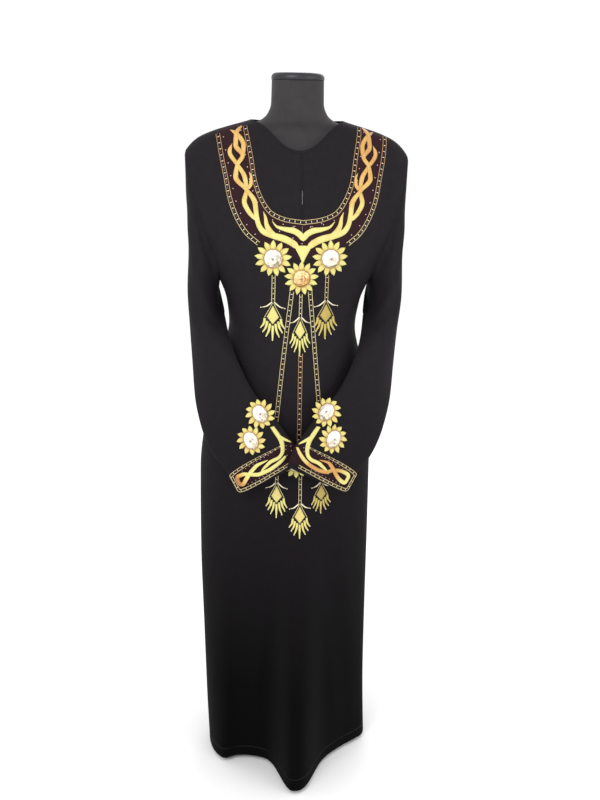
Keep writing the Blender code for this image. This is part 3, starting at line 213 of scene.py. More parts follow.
VINE_SHOULDER = (
    (0.144, 1.393, 0, 0.3), (0.1318, 1.3865, 0, 0.95), (0.1185, 1.3655, 0, 1.05),
    (0.1202, 1.346, 0, 0.9), (0.123, 1.34, 0, 0.7),
)
LEAF_UPPER = (
    (0.1085, 1.317, 0, 0.12), (0.104, 1.306, 0, 0.8), (0.1045, 1.295, 0, 1.0),
    (0.1105, 1.284, 0, 0.8),
)
LEAF_LOWER = (
    (0.08, 1.243, 0, 0.1), (0.0755, 1.231, 0, 0.85), (0.0735, 1.219, 0, 1.2),
    (0.067, 1.206, 0, 1.6), (0.056, 1.1975, 0, 1.3),
)
CRESCENT = (
    (0.062, 1.2245), (0.051, 1.214), (0.035, 1.21), (0.02, 1.2075), (0.009, 1.202),
    (0.0, 1.193),
)
FUNNEL = (
    (0.004, 1.179), (0.016, 1.1785), (0.015, 1.1735), (0.0122, 1.168), (0.0088, 1.162),
    (0.0058, 1.156), (0.0032, 1.15), (0.0008, 1.145),
)
STRAND_WIDTH = 0.0086
LEAF_WIDTH = 0.0072
CRESCENT_WIDTH = 0.0116
CRESCENT_ENDS = ((0.32, 0.32), (0.08, 0.08), 0.8)
CRESCENT_WARMTH = 0.02
FUNNEL_ROWS = 40
# Painted shade at a strand's edges, and how much more of it lies on one side
EDGE_SHADE = 0.09
EDGE_SHADE_LEAN = 0.6
STRAND_RISE = 0.0015
THIN_RISE = 0.35
OVER = 0.0014
CHAIN_STEP = 0.0025
VINE_STEP = 0.0016
# A strand's name, points and width, the shares over which its ends draw in, and their widths
VINES = (
    ("vine_inner_", VINE_INNER, STRAND_WIDTH, (0.03, 0.03), (0.4, 0.6)),
    ("vine_outer_", VINE_OUTER, STRAND_WIDTH, (0.05, 0.03), (0.2, 0.6)),
    ("vine_shoulder_", VINE_SHOULDER, STRAND_WIDTH, (0.10, 0.05), (0.2, 0.5)),
    ("leaf_upper_", LEAF_UPPER, LEAF_WIDTH, (0.10, 0.05), (0.2, 0.6)),
    ("leaf_lower_", LEAF_LOWER, LEAF_WIDTH, (0.10, 0.05), (0.2, 0.6)),
)

# The maroon ground: its edges below the chains, and the lower and upper edge of a cuff's band
CHEST_GROUND_FOOT = ((0.0, 1.150), (0.045, 1.166))
CHEST_GROUND_GAP = ((-0.02, 1.2225),)
CHEST_GROUND_TOP = 1.41
CHEST_SOFT = 0.003
CUFF_GROUND = (((0.05, 0.0075), (0.11, 0.005), (0.79, 0.0105), (1.0, 0.0115)),
               ((0.05, 0.037), (0.11, 0.042), (0.78, 0.061), (1.0, 0.066)))
CUFF_SOFT = 0.002

# Warmth of the threads by height: 0 is pale, a half full and 1 deep
CHAIN_WARMTH = ((0.60, 0.50), (0.76, 0.80), (0.92, 0.70), (1.03, 0.25), (1.12, 0.02),
                (1.20, 0.22), (1.27, 0.40), (1.32, 0.60), (1.42, 0.75))
SATIN_WARMTH = ((0.60, 0.1), (1.15, 0.0), (1.21, 0.08), (1.25, 0.2), (1.29, 0.42),
                (1.34, 0.55), (1.42, 0.7))
PALE_SHARE = 0.4
VINE_WANDER = 0.12
VINE_LEFT_SHARE = 0.75
CUFF_CHAIN_WARMTH = 0.28
CUFF_PETAL_WARMTH = 0.08

CUFF_ROW_HEIGHT = 0.047
# On a cuff: a share across, a distance up, and the share of a lift over another
CUFF_CHAIN = (
    (0.86, 0.0112, 0), (0.085, 0.0045, 0), (0.025, 0.007, 0), (0.025, 0.0365, 0), (0.085, 0.0415, 0),
    (0.87, 0.064, 0),
)
CUFF_LOOP = {
    -1: (
        (0.586, 0.0393, 0), (0.452, 0.0391, 0), (0.319, 0.0321, 0.4), (0.262, 0.0276, 1),
        (0.19, 0.021, 0.4), (0.115, 0.015, 0), (0.078, 0.018, 0), (0.08, 0.0275, 0),
        (0.12, 0.0325, 0), (0.18, 0.0325, 0), (0.262, 0.0276, 0), (0.404, 0.0195, 0),
        (0.524, 0.019, 0), (0.662, 0.0215, 0), (0.76, 0.025, 0), (0.83, 0.03, 0),
    ),
    1: (
        (0.623, 0.0405, 0), (0.506, 0.0425, 0), (0.4, 0.035, 0.4), (0.365, 0.0315, 1),
        (0.31, 0.0255, 0.4), (0.22, 0.019, 0), (0.14, 0.0165, 0), (0.11, 0.019, 0),
        (0.11, 0.0285, 0), (0.16, 0.0345, 0), (0.25, 0.0355, 0), (0.365, 0.0315, 0),
        (0.46, 0.0225, 0), (0.58, 0.02, 0), (0.68, 0.0215, 0), (0.76, 0.024, 0),
        (0.85, 0.03, 0), (0.925, 0.039, 0), (0.975, 0.048, 0),
    ),
}
CUFF_STALK = (
    (0.922, 0.123, 0), (0.915, 0.099, 0), (0.872, 0.0665, 0), (0.8, 0.04, 0), (0.716, 0.0335, 0),
    (0.63, 0.0335, 0), (0.545, 0.03, 0), (0.475, 0.0262, 0), (0.415, 0.0205, 0),
)
CUFF_LEAF = ((0.914, 0.104, 0), (0.93, 0.094, 0), (0.953, 0.08, 0), (0.98, 0.06, 0))
CUFF_STRAND_WIDTH = 0.0078
CUFF_STRAND_STEP = 0.0014
CUFF_CHAIN_STEP = 0.002
CUFF_STRAND_WARMTH = 0.04

FlowerSize = namedtuple("FlowerSize", "radius seat petals")
SIDE_FLOWER = FlowerSize(0.0366, 0.0188, 13)
MIDDLE_FLOWER = FlowerSize(0.0347, 0.0172, 13)
CUFF_FLOWER = FlowerSize(0.031, 0.0168, 12)
# A petal's section, as (sideways, outwards): half a circle with a furrow along its middle
UNDERSIDE = [(-0.5, -0.1), (0.5, -0.1)]
FURROW_DEPTH = 0.22
FURROW_WIDTH = 0.18
PETAL_SECTION = np.array(
    [(t, (1 - t * t) ** 0.5 * (1 - FURROW_DEPTH * math.exp(-(t / FURROW_WIDTH) ** 2)))
     for t in np.linspace(1, -1, 11)] + UNDERSIDE)
PETAL_STEPS = 12
PETAL_FULL = 0.4
PETAL_BLUNT = 1.25
PETAL_TIP = 0.03
PETAL_SPREAD = 0.78
PETAL_CROWDING = 0.78
PETAL_ROOT = 0.86
PETAL_LENGTHS = (0.97, 1.0)
PETAL_ASIDE = 0.0007
PETAL_RISE = 0.0026
PETAL_LAID = 0.0004
PETAL_THREAD_SLANT = 0.6
PETAL_WARMTHS = (-0.05, 0.10)
PETAL_ROOT_WARMTH = 0.25
# Painted shade on a petal's sides
PETAL_EDGE_SHADE = 0.10
SEAT_SIDES = 40
FELT_LEVELS = ((0.98, -0.0012), (1.0, 0.0008), (0.98, 0.0026))
FELT_WARMTH = 0.35
RIM_SIDES = 8
RIM_HEIGHT = 0.0030
RIM_THICK = 0.0010
RIM_WIDE = 0.05
# Levels of a stone: a share of its reach and of its rise, and a turn in facets
STONE_LEVELS = ((0.94, 0.0, 0.0), (0.95, 0.16, 0.5), (0.90, 0.36, 0.0), (0.74, 0.70, 0.5),
                (0.50, 0.93, 0.0), (0.30, 1.0, 0.5), (0.10, 1.0, 0.0))
STONE_SIDES = 11
STONE_RISE = 0.0072
STONE_BED = 0.0028
STONE_SHARP = 8.0
# A facet's painted reflection: how it is drawn, its start, the draw's share, and the share of painted
# shade for lying low
FACET_DRAW = (0.8, 1.6)
FACET_START = 0.05
FACET_CHANCE = 0.8
FACET_LOW_SHADE = 0.4
# The side of a stone whose facets get painted shade
FACET_SHADE = (0.55, -0.85)
OVAL_NARROW = 0.9
OVAL_TALL = 1.16
OVAL_LEAN = -0.17
FRONT_FLOWERS = rows_of(
    "name across height size",
    ("chest_left", -0.056, 1.153, SIDE_FLOWER), ("chest_right", 0.0565, 1.154, SIDE_FLOWER),
    ("chest_middle", 0.0, 1.115, MIDDLE_FLOWER), ("lower_middle", -0.003, 0.728, CUFF_FLOWER),
)
CUFF_SEED = 20
CUFF_FLOWER_SHIFT = {-1: (-0.018, -0.028), 1: (0.034, 0.048)}
CUFF_FLOWERS = rows_of("name along row", ("upper", 0.925, 6.79), ("lower", 0.62, 7.71))

DROPS = rows_of(
    "name across top fork wide long warmth",
    ("chest_left", -0.0545, 1.116, 1.065, 0.95, 1.0, 0.0),
    ("chest_right", 0.0515, 1.117, 1.0685, 0.95, 1.0, 0.5),
    ("chest_middle", 0.0, 1.079, 1.0355, 0.8, 1.0, 0.05),
    ("lower_left", -0.0425, 0.73, 0.6855, 0.87, 0.98, 0.1),
    ("lower_right", 0.051, 0.73, 0.684, 0.82, 0.86, 0.5),
    ("lower_middle", 0.006, 0.6965, 0.6417, 0.87, 0.95, 0.2),
)

# The parts of a drop below its fork, its right half: points across and down
DROP_ARM = ((0.002, 0.001), (0.0085, -0.005), (0.016, -0.0098), (0.0248, -0.0117))
DROP_SIDE = ((0.0012, -0.001), (0.007, -0.013), (0.0135, -0.0245), (0.0176, -0.0322))
DROP_HEART = ((0.0, -0.007), (0.0128, -0.0302), (0.0, -0.0446))
DROP_EDGE = ((0.0, -0.0048), (0.0142, -0.0302), (0.0, -0.0462))
DROP_RAYS = (
    ((0.0166, -0.0335), (0.0178, -0.0425), (0.0246, -0.0532)),
    ((0.0112, -0.0392), (0.0136, -0.0505), (0.02, -0.0618)),
    ((0.0056, -0.044), (0.0078, -0.0575), (0.0134, -0.0706)),
)
DROP_MIDDLE_RAY = ((0.0, -0.048), (0.0, -0.063), (0.0, -0.0785))
# How the ends of a stroke draw in: the shares of its length, and the widths of its tips
RAY_ENDS = ((0.02, 0.6), (1.0, 0.42))
ARM_ENDS = ((0.2, 0.5), (0.5, 0.2))
RAY_WIDTH = 0.005
RAY_WIDTH_AT = 0.95
RAY_RISE = 0.0013
RAY_STEP = 0.0012
SIDE_STEP = 0.0015
ARM_HALF = 0.0013
ARM_RISE = 0.001
HEART_TIP = 0.0002
OUTLINE_RADIUS = 0.001
TIP_BEAD = 0.0027
STEM_SPARE = 0.004
STEM_FOOT = 0.002
STEM_ROWS = 24
STEM_APART = 0.0028 / 0.9
# Warmth of a drop's parts: a start, and a share of the drop's own warmth
DROP_WARMTHS = {"stem": (0.05, 0.6), "side": (0.05, 0.5), "ray": (0.0, 0.5), "heart": (0.08, 0.6)}
OLD_GOLD_FROM = 0.4
# The places of a drop's cords, beads and bars in its list of materials
DROP_CORD = 1
DROP_BEAD = 2
DROP_BAR = 3

# Threads and beads
LAID = 0.00035
LINE_RADIUS = 0.00062
CHAIN_GAUGE = 0.0072
CUFF_CHAIN_GAUGE = 0.005
BEAD_STEP = 0.0108
BEAD_SIZE = 0.0018
BEAD_ACROSS = 0.62
BEAD_SQUARE = 0.8
BAR_LENGTH = 0.0066
BAR_WIDTH = 0.0026
BAR_SQUARE = 0.55
FLAT = 0.8
STEM_STEP = BEAD_STEP * 0.9
STEM_BEAD = (BEAD_SIZE * 0.9, 0.0034, BEAD_SIZE * 0.7)
STEM_BAR = (BAR_LENGTH * 0.9, 0.0020, 0.0018)
STUD_LIFT = 0.0001
STUD_LEVELS = 3
STUD_SIDES = 6
AHEAD_STEP = 1e-4
LEVEL = (1.0, 0.0)
DOT_SIZE = (0.0024, 0.0024, 0.0024 * 0.7)
CUFF_ROW_DOT = (0.0017, 0.0017, 0.0012)
CUFF_DOT = (0.0019, 0.0019, 0.0013)
DOT_FIRST = 0.3
DOT_PATH_STEP = 0.004
# Rows of dots: the chain they follow, how far beside it, and their step
DOT_ROWS = ((CHAIN_OUTER, 0.0100, 0.0225), (CHAIN_INNER, -0.0095, 0.0225))
DOTS_MIDDLE = ((-0.0200, 1.1935), (-0.0020, 1.1828), (0.0175, 1.1890), (0.0345, 1.1965),
               (-0.0470, 1.2060), (-0.0200, 1.2145), (0.0140, 1.2150), (0.0360, 1.2215))
CUFF_DOT_ROWS = (((0.16, 0.0112), (0.70, 0.0150)), ((0.17, 0.0390), (0.72, 0.0540)))
CUFF_DOT_STEP = 0.0085
CUFF_DOTS = ((0.82, 0.0510), (0.87, 0.0450), (0.90, 0.0560), (0.93, 0.0350), (0.85, 0.0300),
             (0.95, 0.0470))

# The neck binding, the opening below it and the pale lines painted as its glints, and the stitching
# above the hem
NECK_BINDING = 0.0075
BINDING_SIDES = 14
BINDING_OVER = 0.0009
BINDING_THICK = 0.0011
SLIT_APART = 0.0017
SLIT_ENDS = (1.350, 1.2290)
SLIT_HALF = 0.0013
SLIT_RISE = 0.0006
SLIT_GLINT_RADIUS = 0.0003
SLIT_GLINTS = ((1.2830, 1.2570), (1.2160, 1.2000))
HEM_WIDTH = 0.024
HEM_REACH = 0.985
HEM_STITCH_STEP = 0.0046
HEM_STITCH = (0.0034, 0.0008, 0.0006)
STITCH_SQUARE = 0.7

# The dress form inside, and its stand, as in the part
FORM_SECTIONS = rows_of(
    "height half front back",
    (0.8, 0.14, 0.094, 0.092), (0.85, 0.15, 0.104, 0.101), (0.9, 0.14, 0.104, 0.096),
    (0.96, 0.122, 0.098, 0.084), (1.0, 0.117, 0.096, 0.079), (1.06, 0.124, 0.102, 0.081),
    (1.12, 0.136, 0.112, 0.088), (1.18, 0.147, 0.118, 0.096), (1.23, 0.155, 0.109, 0.099),
    (1.28, 0.167, 0.096, 0.096), (1.32, 0.181, 0.083, 0.086), (1.35, 0.191, 0.072, 0.074),
    (1.371, 0.186, 0.06, 0.062), (1.386, 0.169, 0.052, 0.052), (1.396, 0.14, 0.046, 0.044),
    (1.403, 0.109, 0.046, 0.042), (1.41, 0.079, 0.05, 0.045), (1.425, 0.06, 0.051, 0.048),
    (1.445, 0.053, 0.05, 0.049), (1.49, 0.052, 0.05, 0.05),
)
FORM_SIDES = 96
FORM_ROWS = 140
CAP_RADIUS = 0.053
CAP_HEIGHT = 0.014
CAP_ROUND = 0.010
CAP_EDGE = 0.005
CAP_FOOT = 0.001
POLE_RADIUS = 0.016
POLE_ROUND = 0.0008
BASE_RADIUS = 0.118
BASE_HEIGHT = 0.014
BASE_SLOPE = 0.002
EDGE_ROUND = 0.003
COLLAR_RADIUS = 0.03
COLLAR_HEIGHT = 0.03
COLLAR_FOOT = 0.004
COLLAR_SHARE = 0.8
COLLAR_ROUND = 0.002
TURNED_SIDES = 96

# The camera
CAMERA_AZIMUTH = math.radians(-5)
CAMERA_PITCH = math.radians(16)
CAMERA_ROLL = math.radians(1.2)
CAMERA_DISTANCE = 2.15
CAMERA_HEIGHT = 1.445
CAMERA_ASIDE = 0.0175
CAMERA_LENS = 46.44

FLOOR_RADIUS = 60.0
FLOOR_HEIGHT = -0.0002
ROOM_LIGHT = 1.06


# Numbers and curves

def column(table, name):
    """One named value of every row of a table."""
    return np.array([getattr(row, name) for row in table])


def stacked(*values):
    """Values side by side along a new last axis, spread to one shape."""
    return np.stack(np.broadcast_arrays(*values), axis=-1)


def turns_of(count):
    """Evenly spaced angles all the way round."""
    return 2 * math.pi * np.arange(count) / count


def smooth_curve(places, values, at):
    """A smooth curve through a table's values that never overshoots between two rows.

    Each stretch is a cubic, and its slope at a row is the harmonic mean of the slopes of
    the stretches on both sides, or level where the values turn.
    """
    places = np.asarray(places, float)
    values = np.asarray(values, float)
    at = np.clip(np.asarray(at, float), places[0], places[-1])
    deep = (1,) * (values.ndim - 1)
    slopes = np.diff(values, axis=0) / np.diff(places).reshape((-1,) + deep)
    product = slopes[:-1] * slopes[1:]
    total = slopes[:-1] + slopes[1:]
    bends = np.zeros_like(values)
    bends[1:-1] = np.where(product > 0, 2 * product / np.where(total == 0, 1, total), 0)
    bends[0] = slopes[0]
    bends[-1] = slopes[-1]
    index = np.clip(np.searchsorted(places, at, side="right") - 1, 0, len(places) - 2)
    step = (places[index + 1] - places[index]).reshape(at.shape + deep)
    part = (at - places[index]).reshape(at.shape + deep) / step
    start = values[index]
    cubic = part ** 2 * (3 - 2 * part)
    return (start + (values[index + 1] - start) * cubic
            + step * part * (1 - part) * ((1 - part) * bends[index] - part * bends[index + 1]))


def unit(vectors):
    """Vectors divided by their lengths."""
    return vectors / np.maximum(np.linalg.norm(vectors, axis=-1, keepdims=True), 1e-12)


def smooth_step(low, high, value):
    """0 below low, 1 above high, and 3t^2 - 2t^3 between."""
    share = np.clip((np.asarray(value, float) - low) / (high - low), 0, 1)
    return share ** 2 * (3 - 2 * share)


def run_lengths(points):
    """Distance along a path of points up to each of them."""
    return np.concatenate([[0], np.cumsum(np.linalg.norm(np.diff(points, axis=0), axis=1))])


def even_path(rows, step):
    """Evenly spaced values along a smooth path through a table's rows."""
    values = np.array(rows, float)
    places = run_lengths(values[:, :2])
    count = max(3, int(round(places[-1] / step)) + 1)
    return smooth_curve(places, values, np.linspace(0, places[-1], count))


def run_of(path):
    """The direction along a path at each of its points."""
    return unit(np.gradient(path[:, :2], axis=0))


def right_of(path):
    """The direction to the right of a path at each of its points."""
    run = run_of(path)
    return stacked(run[:, 1], -run[:, 0])


def beside(path, distance):
    """A path moved to its right by a distance."""
    moved = path.copy()
    moved[:, :2] += right_of(path) * distance
    return moved


def on_side(path, side):
    """A path of the right half as it is, or mirrored for the left half."""
    return path * np.array([side] + [1.0] * (path.shape[1] - 1))


def both_halves(half):
    """A path over both sides, from its left end over the middle to its right end."""
    return np.concatenate([on_side(half, -1), half[-2::-1]])


# The surfaces of the cloth

def body_value(name, height):
    """One size of the body's sections at a height, on the smooth curve through them."""
    return smooth_curve(column(BODY_SECTIONS, "height"), column(BODY_SECTIONS, name), height)


def fold_reach(side, x, height):
    """Rounded ridges exp(-|away / spread|^n), each growing from its top towards the hem."""
    reach = 0.0
    for fold in FOLDS[side]:
        away = x - fold.place
        spread = np.where(away < 0, fold.spread_left, fold.spread_right)
        ridge = np.exp(-np.abs(away / spread) ** FOLD_SHARPNESS)
        grown = np.clip((fold.top - height) / fold.top, 0, 1) ** FOLD_RISE
        reach = reach + fold.reach * ridge * grown
    return reach


def crease_reach(side, x, height):
    """Slight ridges along leaning lines: exp(-(across / wide)^2 - (along / long)^4)."""
    reach = 0.0
    for crease in CREASES[side]:
        lean = math.atan(crease.slope)
        right, up = x - crease.x, height - crease.height
        along = right * math.cos(lean) + up * math.sin(lean)
        across = up * math.cos(lean) - right * math.sin(lean)
        reach = reach + crease.reach * np.exp(-(across / crease.wide) ** 2 - (along / crease.long) ** 4)
    return reach


def cloth_depth(x, height, side):
    """Depth of the cloth before or behind the shoulder seam.

    A level section is a rounded ellipse, depth times (1 - |x / half| ^ n) ^ (1 / n), and the
    folds and creases stand out from it, less towards the side seams.
    """
    out = np.clip(np.abs(x - body_value("centre", height)) / body_value("half", height), 0, 1)
    bow = (1 - out ** ROUNDNESS) ** (1 / ROUNDNESS)
    stands = (fold_reach(side, x, height) + crease_reach(side, x, height)) * bow ** FOLD_AT_SIDES
    return bow * body_value("front" if side < 0 else "back", height) + stands


def cloth_point(x, height, side):
    """A point of the cloth: the place x, the seam's depth and the cloth's own, the height."""
    x, height = np.broadcast_arrays(np.asarray(x, float), np.asarray(height, float))
    return stacked(x, SHOULDER_SEAM_Y + side * cloth_depth(x, height, side), height)


def cloth_spot(x, height, side):
    """Points of the front or back cloth, with outward normals from a step each way.

    The normal is the cross product of the steps across and up, turned away from the seam.
    """
    step = NORMAL_STEP
    across = cloth_point(x + step, height, side) - cloth_point(x - step, height, side)
    up = cloth_point(x, height + step, side) - cloth_point(x, height - step, side)
    return cloth_point(x, height, side), unit(np.cross(across, up)) * -side


def front_spot(u, v):
    """A place of the embroidery on the front: how far from its middle, and a height."""
    return cloth_spot(EMBROIDERY_CENTRE + u, v, -1)


def shifted(across, height):
    """The front with its places counted from one of them."""
    return lambda u, v: front_spot(across + u, height + v)


def worn(across, height):
    """Where the stitching round the neck lies as worn: to one side, and drawn in on the left.

    Above its foot a place moves by a shift, and by an ease that grows evenly leftwards.
    """
    eased = np.clip((-across - NECKBAND_EASES_FROM) / NECKBAND_EASES_OVER, 0, 1)
    return across + (height > NECKBAND_FOOT) * (NECKBAND_SHIFT + NECKBAND_EASE * eased)


def neckband_spot(u, v):
    """The front's surface at the place where stitching round the neck lies as worn."""
    return front_spot(worn(u, v), v)


def shoulder_height(x):
    """Height of the shoulder seam above a place x: where the half width falls to |x|."""
    heights = np.linspace(TIP_HEIGHT, NECK_POINT_HEIGHT, 200)
    return np.interp(np.abs(x), body_value("half", heights)[::-1], heights[::-1])


def neckline_height(x, side):
    """Height at which the body's depth matches an oval neck hole, seen from above."""
    deep = NECK_FRONT_DEPTH if side < 0 else NECK_BACK_DEPTH
    heights = np.linspace(NECK_SEARCH_FROM, NECK_POINT_HEIGHT, 300)
    halves = body_value("half", heights)
    found = []
    for place in np.abs(x):
        wanted = deep * math.sqrt(max(0.0, 1 - (place / NECK_HALF) ** 2))
        fits = halves >= place
        depths = cloth_depth(np.full(heights.shape, place), heights, side)[fits]
        found.append(np.interp(wanted, depths[::-1], heights[fits][::-1]))
    return np.array(found)


def armhole_rows():
    """The armhole's heights and half widths, with rows between those of its table."""
    index = np.arange(len(ARMHOLE))
    fine = np.linspace(0, len(ARMHOLE) - 1, ARMHOLE_STEPS + 1)
    heights = smooth_curve(index, column(ARMHOLE, "height"), fine)
    return heights, smooth_curve(column(ARMHOLE, "height"), column(ARMHOLE, "half"), heights)


def panel_columns():
    """Places across a panel from -1 to 1: even over the neck, closer towards the sides."""
    neck = NECK_HALF / TIP_HALF
    outward = np.sin(np.linspace(0, math.pi / 2, SHOULDER_COLUMNS + 1)[1:])
    right = neck + (1 - neck) * outward
    return np.concatenate([-right[::-1], np.linspace(-neck, neck, NECK_COLUMNS + 1), right])


def panel_grid(side):
    """A body panel from the hem to the shoulder seams and neckline.

    A row is level below the underarm.  Above it the row's ends follow the armhole, and its
    middle rises with the square of the way up towards the shoulder seams and the neckline.
    """
    across = panel_columns()
    top_x = across * TIP_HALF
    in_neck = np.abs(top_x) < NECK_HALF - 1e-6
    top = shoulder_height(top_x)
    top[in_neck] = neckline_height(top_x[in_neck], side)
    skirt = SKIRT_HEIGHTS[:, None]
    lower = cloth_point(body_value("centre", skirt) + across * body_value("half", skirt), skirt, side)
    heights, halves = armhole_rows()
    share = (heights - UNDERARM_HEIGHT) / (TIP_HEIGHT - UNDERARM_HEIGHT)
    rising = heights[:, None] + (top - TIP_HEIGHT) * share[:, None] ** 2
    x = body_value("centre", heights)[:, None] + across * halves[:, None]
    return np.concatenate([lower, cloth_point(x, rising, side)])


def grid_normals(grid, closed):
    """Unit normals of a grid: the cross product of the steps along its rows and columns."""
    if closed:
        along = np.roll(grid, -1, axis=1) - np.roll(grid, 1, axis=1)
    else:
        along = np.gradient(grid, axis=1)
    return unit(np.cross(along, np.gradient(grid, axis=0)))


def sleeve_ring(section, side, lap, turns):
    """One ring of a sleeve: an ellipse on the line between its folds, deeper in front."""
    flip = np.array([side, 1.0, 1.0])
    drift = SLEEVE_FOLLOWS_BODY * body_value("centre", section.outer[2])
    outer = np.array(section.outer) * flip + (drift, SHOULDER_SEAM_Y, 0)
    inner = np.array(section.inner) * flip + (drift, SHOULDER_SEAM_Y - lap, 0)
    centre, half = (outer + inner) / 2, (outer - inner) / 2
    forward = unit(np.array([half[1], -half[0], 0.0])) * side
    angle = 2 * math.pi * np.asarray(turns)
    depth = np.where(np.sin(angle) > 0, section.front, section.back)
    return centre + np.outer(np.cos(angle), half) + np.outer(depth * np.sin(angle), forward)


def sleeve_controls(side, turns):
    """The rings below the armhole that a sleeve's length is drawn through."""
    last = len(SLEEVE_SECTIONS) - 1
    laps = [side * CUFF_LAP * max(0.0, 1 - (last - row) / CUFF_LAP_ROWS) for row in range(last + 1)]
    return np.array([sleeve_ring(section, side, lap, turns)
                     for section, lap in zip(SLEEVE_SECTIONS, laps)])


def sleeve_creases(rows, turns):
    """How far a sleeve's creases stand out: ridges that climb round the sleeve.

    A ridge is exp(-across^2 - (away / long)^4), where away is the turn from its middle, and
    across is the distance in rows from its climbing line over a width.
    """
    reach = 0.0
    for crease in SLEEVE_CREASES:
        away = (turns - crease.turn + 0.5) % 1.0 - 0.5
        across = (rows - crease.row - crease.climb * away) / (SLEEVE_CREASE_SPREAD * crease.wide)
        reach = reach + crease.reach * np.exp(-across ** 2 - (away / crease.long) ** 4)
    return reach


# Fine grids of the lower sleeves' fronts, which the cuffs' embroidery is laid on
CUFF_SPAN = math.dist(SLEEVE_SECTIONS[-1].outer, SLEEVE_SECTIONS[-1].inner)
CUFF_TABLE_ROWS = np.linspace(5.5, 10.0, 226)
CUFF_TABLE_TURNS = np.linspace(0.0, 0.5, 361)
CUFF_TABLES = {
    side: smooth_curve(np.arange(1, len(SLEEVE_SECTIONS) + 1),
                       sleeve_controls(side, CUFF_TABLE_TURNS), CUFF_TABLE_ROWS)
    for side, _ in SIDES
}


def cuff_point(side, along, row):
    """A point on a sleeve's front at a share of the way across it and a section number.

    The share runs from the outer fold to the inner one, and the turn round the sleeve is
    arccos(1 - 2 share).  The point is a blend of the four nearest ones of a fine grid.
    """
    turn = np.arccos(1 - 2 * np.clip(along, 0, 1)) / (2 * math.pi)
    table = CUFF_TABLES[side]
    row_step = CUFF_TABLE_ROWS[1] - CUFF_TABLE_ROWS[0]
    r = np.clip((row - CUFF_TABLE_ROWS[0]) / row_step, 0, len(table) - 1.001)
    c = np.clip(turn / CUFF_TABLE_TURNS[1], 0, table.shape[1] - 1.001)
    ri, ci = r.astype(int), c.astype(int)
    rf, cf = (r - ri)[..., None], (c - ci)[..., None]
    low = table[ri, ci] * (1 - cf) + table[ri, ci + 1] * cf
    high = table[ri + 1, ci] * (1 - cf) + table[ri + 1, ci + 1] * cf
    return low * (1 - rf) + high * rf


def cuff_spot_at(side, along, row):
    """Points of a sleeve's front, with outward normals from a step each way across and down."""
    along, row = np.broadcast_arrays(np.asarray(along, float), np.asarray(row, float))
    across = (cuff_point(side, along + CUFF_STEP_ALONG, row)
              - cuff_point(side, along - CUFF_STEP_ALONG, row))
    down = (cuff_point(side, along, row + CUFF_STEP_DOWN)
            - cuff_point(side, along, row - CUFF_STEP_DOWN))
    normal = unit(np.cross(across, down))
    return cuff_point(side, along, row), normal * -np.sign(normal[..., 1:2])


def cuff_spot(side):
    """The surface of one cuff, with places as distances across it and up from its opening."""
    return lambda u, v: cuff_spot_at(side, u / CUFF_SPAN, len(SLEEVE_SECTIONS) - v / CUFF_ROW_HEIGHT)


def cuff_path(rows, step):
    """A path on a cuff with its share across turned into a distance."""
    return even_path(np.array(rows, float) * (CUFF_SPAN, 1.0, 1.0), step)


# Meshes

Part = namedtuple("Part", "points quads tris uv warmth material")


def as_part(points, quads, tris=(), uv=None, warmth=0.0, material=0):
    """A closed shape as arrays, with its faces turned outwards by the sign of its volume."""
    quads = np.asarray(quads, int).reshape(-1, 4)
    tris = np.asarray(tris, int).reshape(-1, 3)
    every = np.concatenate([quads[:, [0, 1, 2]], quads[:, [0, 2, 3]], tris])
    a, b, c = (points[every[:, k]] for k in range(3))
    if np.sum(a * np.cross(b, c)) < 0:
        quads, tris = quads[:, ::-1], tris[:, ::-1]
    uv = np.zeros((len(points), 2)) if uv is None else uv
    return Part(points, quads, tris, uv, np.broadcast_to(warmth, (len(points),)), material)


def tube_faces(rows, sides):
    """Quads between rings of points, and triangles from each end ring to a point after all."""
    index = np.arange(rows * sides).reshape(rows, sides)
    after = np.roll(index, -1, axis=1)
    quads = stacked(index[:-1], after[:-1], after[1:], index[1:]).reshape(-1, 4)
    ends = [stacked(index.size, after[0], index[0]), stacked(index.size + 1, index[-1], after[-1])]
    return quads, np.concatenate(ends)


def with_ends(rings):
    """The points of rings, and after them the middle of the first ring and of the last."""
    middles = [rings[0].mean(axis=0)[None], rings[-1].mean(axis=0)[None]]
    return np.concatenate([rings.reshape(-1, rings.shape[-1]), *middles])


def loft(rings, uv, warmth=0.0, material=0):
    """Rings of points joined into a tube, each end closed by triangles to its middle."""
    if np.ndim(warmth):
        rows = np.reshape(warmth, (len(rings), -1))
        warmth = np.broadcast_to(rows, rings.shape[:2]).reshape(-1)
        warmth = np.concatenate([warmth, warmth[[0, -1]]])
    uv = None if uv is None else with_ends(uv)
    return as_part(with_ends(rings), *tube_faces(*rings.shape[:2]), uv, warmth, material)


def closed_loop(rings, material=0):
    """Rings of points joined into a band without ends, such as a binding or a rim."""
    index = np.arange(rings.shape[0] * rings.shape[1]).reshape(rings.shape[:2])
    after = np.roll(index, -1, axis=1)
    quads = stacked(index, after, np.roll(after, -1, axis=0), np.roll(index, -1, axis=0))
    return as_part(rings.reshape(-1, 3), quads, material=material)


def wall(outer, inner, closed, warmth):
    """A wall of cloth between an outer and an inner grid, with its rims."""
    layer = outer.shape[0] * outer.shape[1]
    index = np.arange(layer).reshape(outer.shape[:2])
    here, after = index[:, :-1], index[:, 1:]
    if closed:
        here, after = index, np.roll(index, -1, axis=1)

    def rim(one, two):
        """Faces across the wall's edge, from each outer point to the inner one a layer on."""
        return stacked(one, two, two + layer, one + layer)

    skin = stacked(here[:-1], after[:-1], after[1:], here[1:]).reshape(-1, 4)
    faces = [skin, skin[:, ::-1] + layer, rim(after[0], here[0]), rim(here[-1], after[-1])]
    if not closed:
        low, high = index[:-1], index[1:]
        faces += [rim(low[:, 0], high[:, 0]), rim(high[:, -1], low[:, -1])]
    points = np.concatenate([outer.reshape(-1, 3), inner.reshape(-1, 3)])
    return as_part(points, np.concatenate(faces), warmth=np.tile(warmth.reshape(-1), 2))


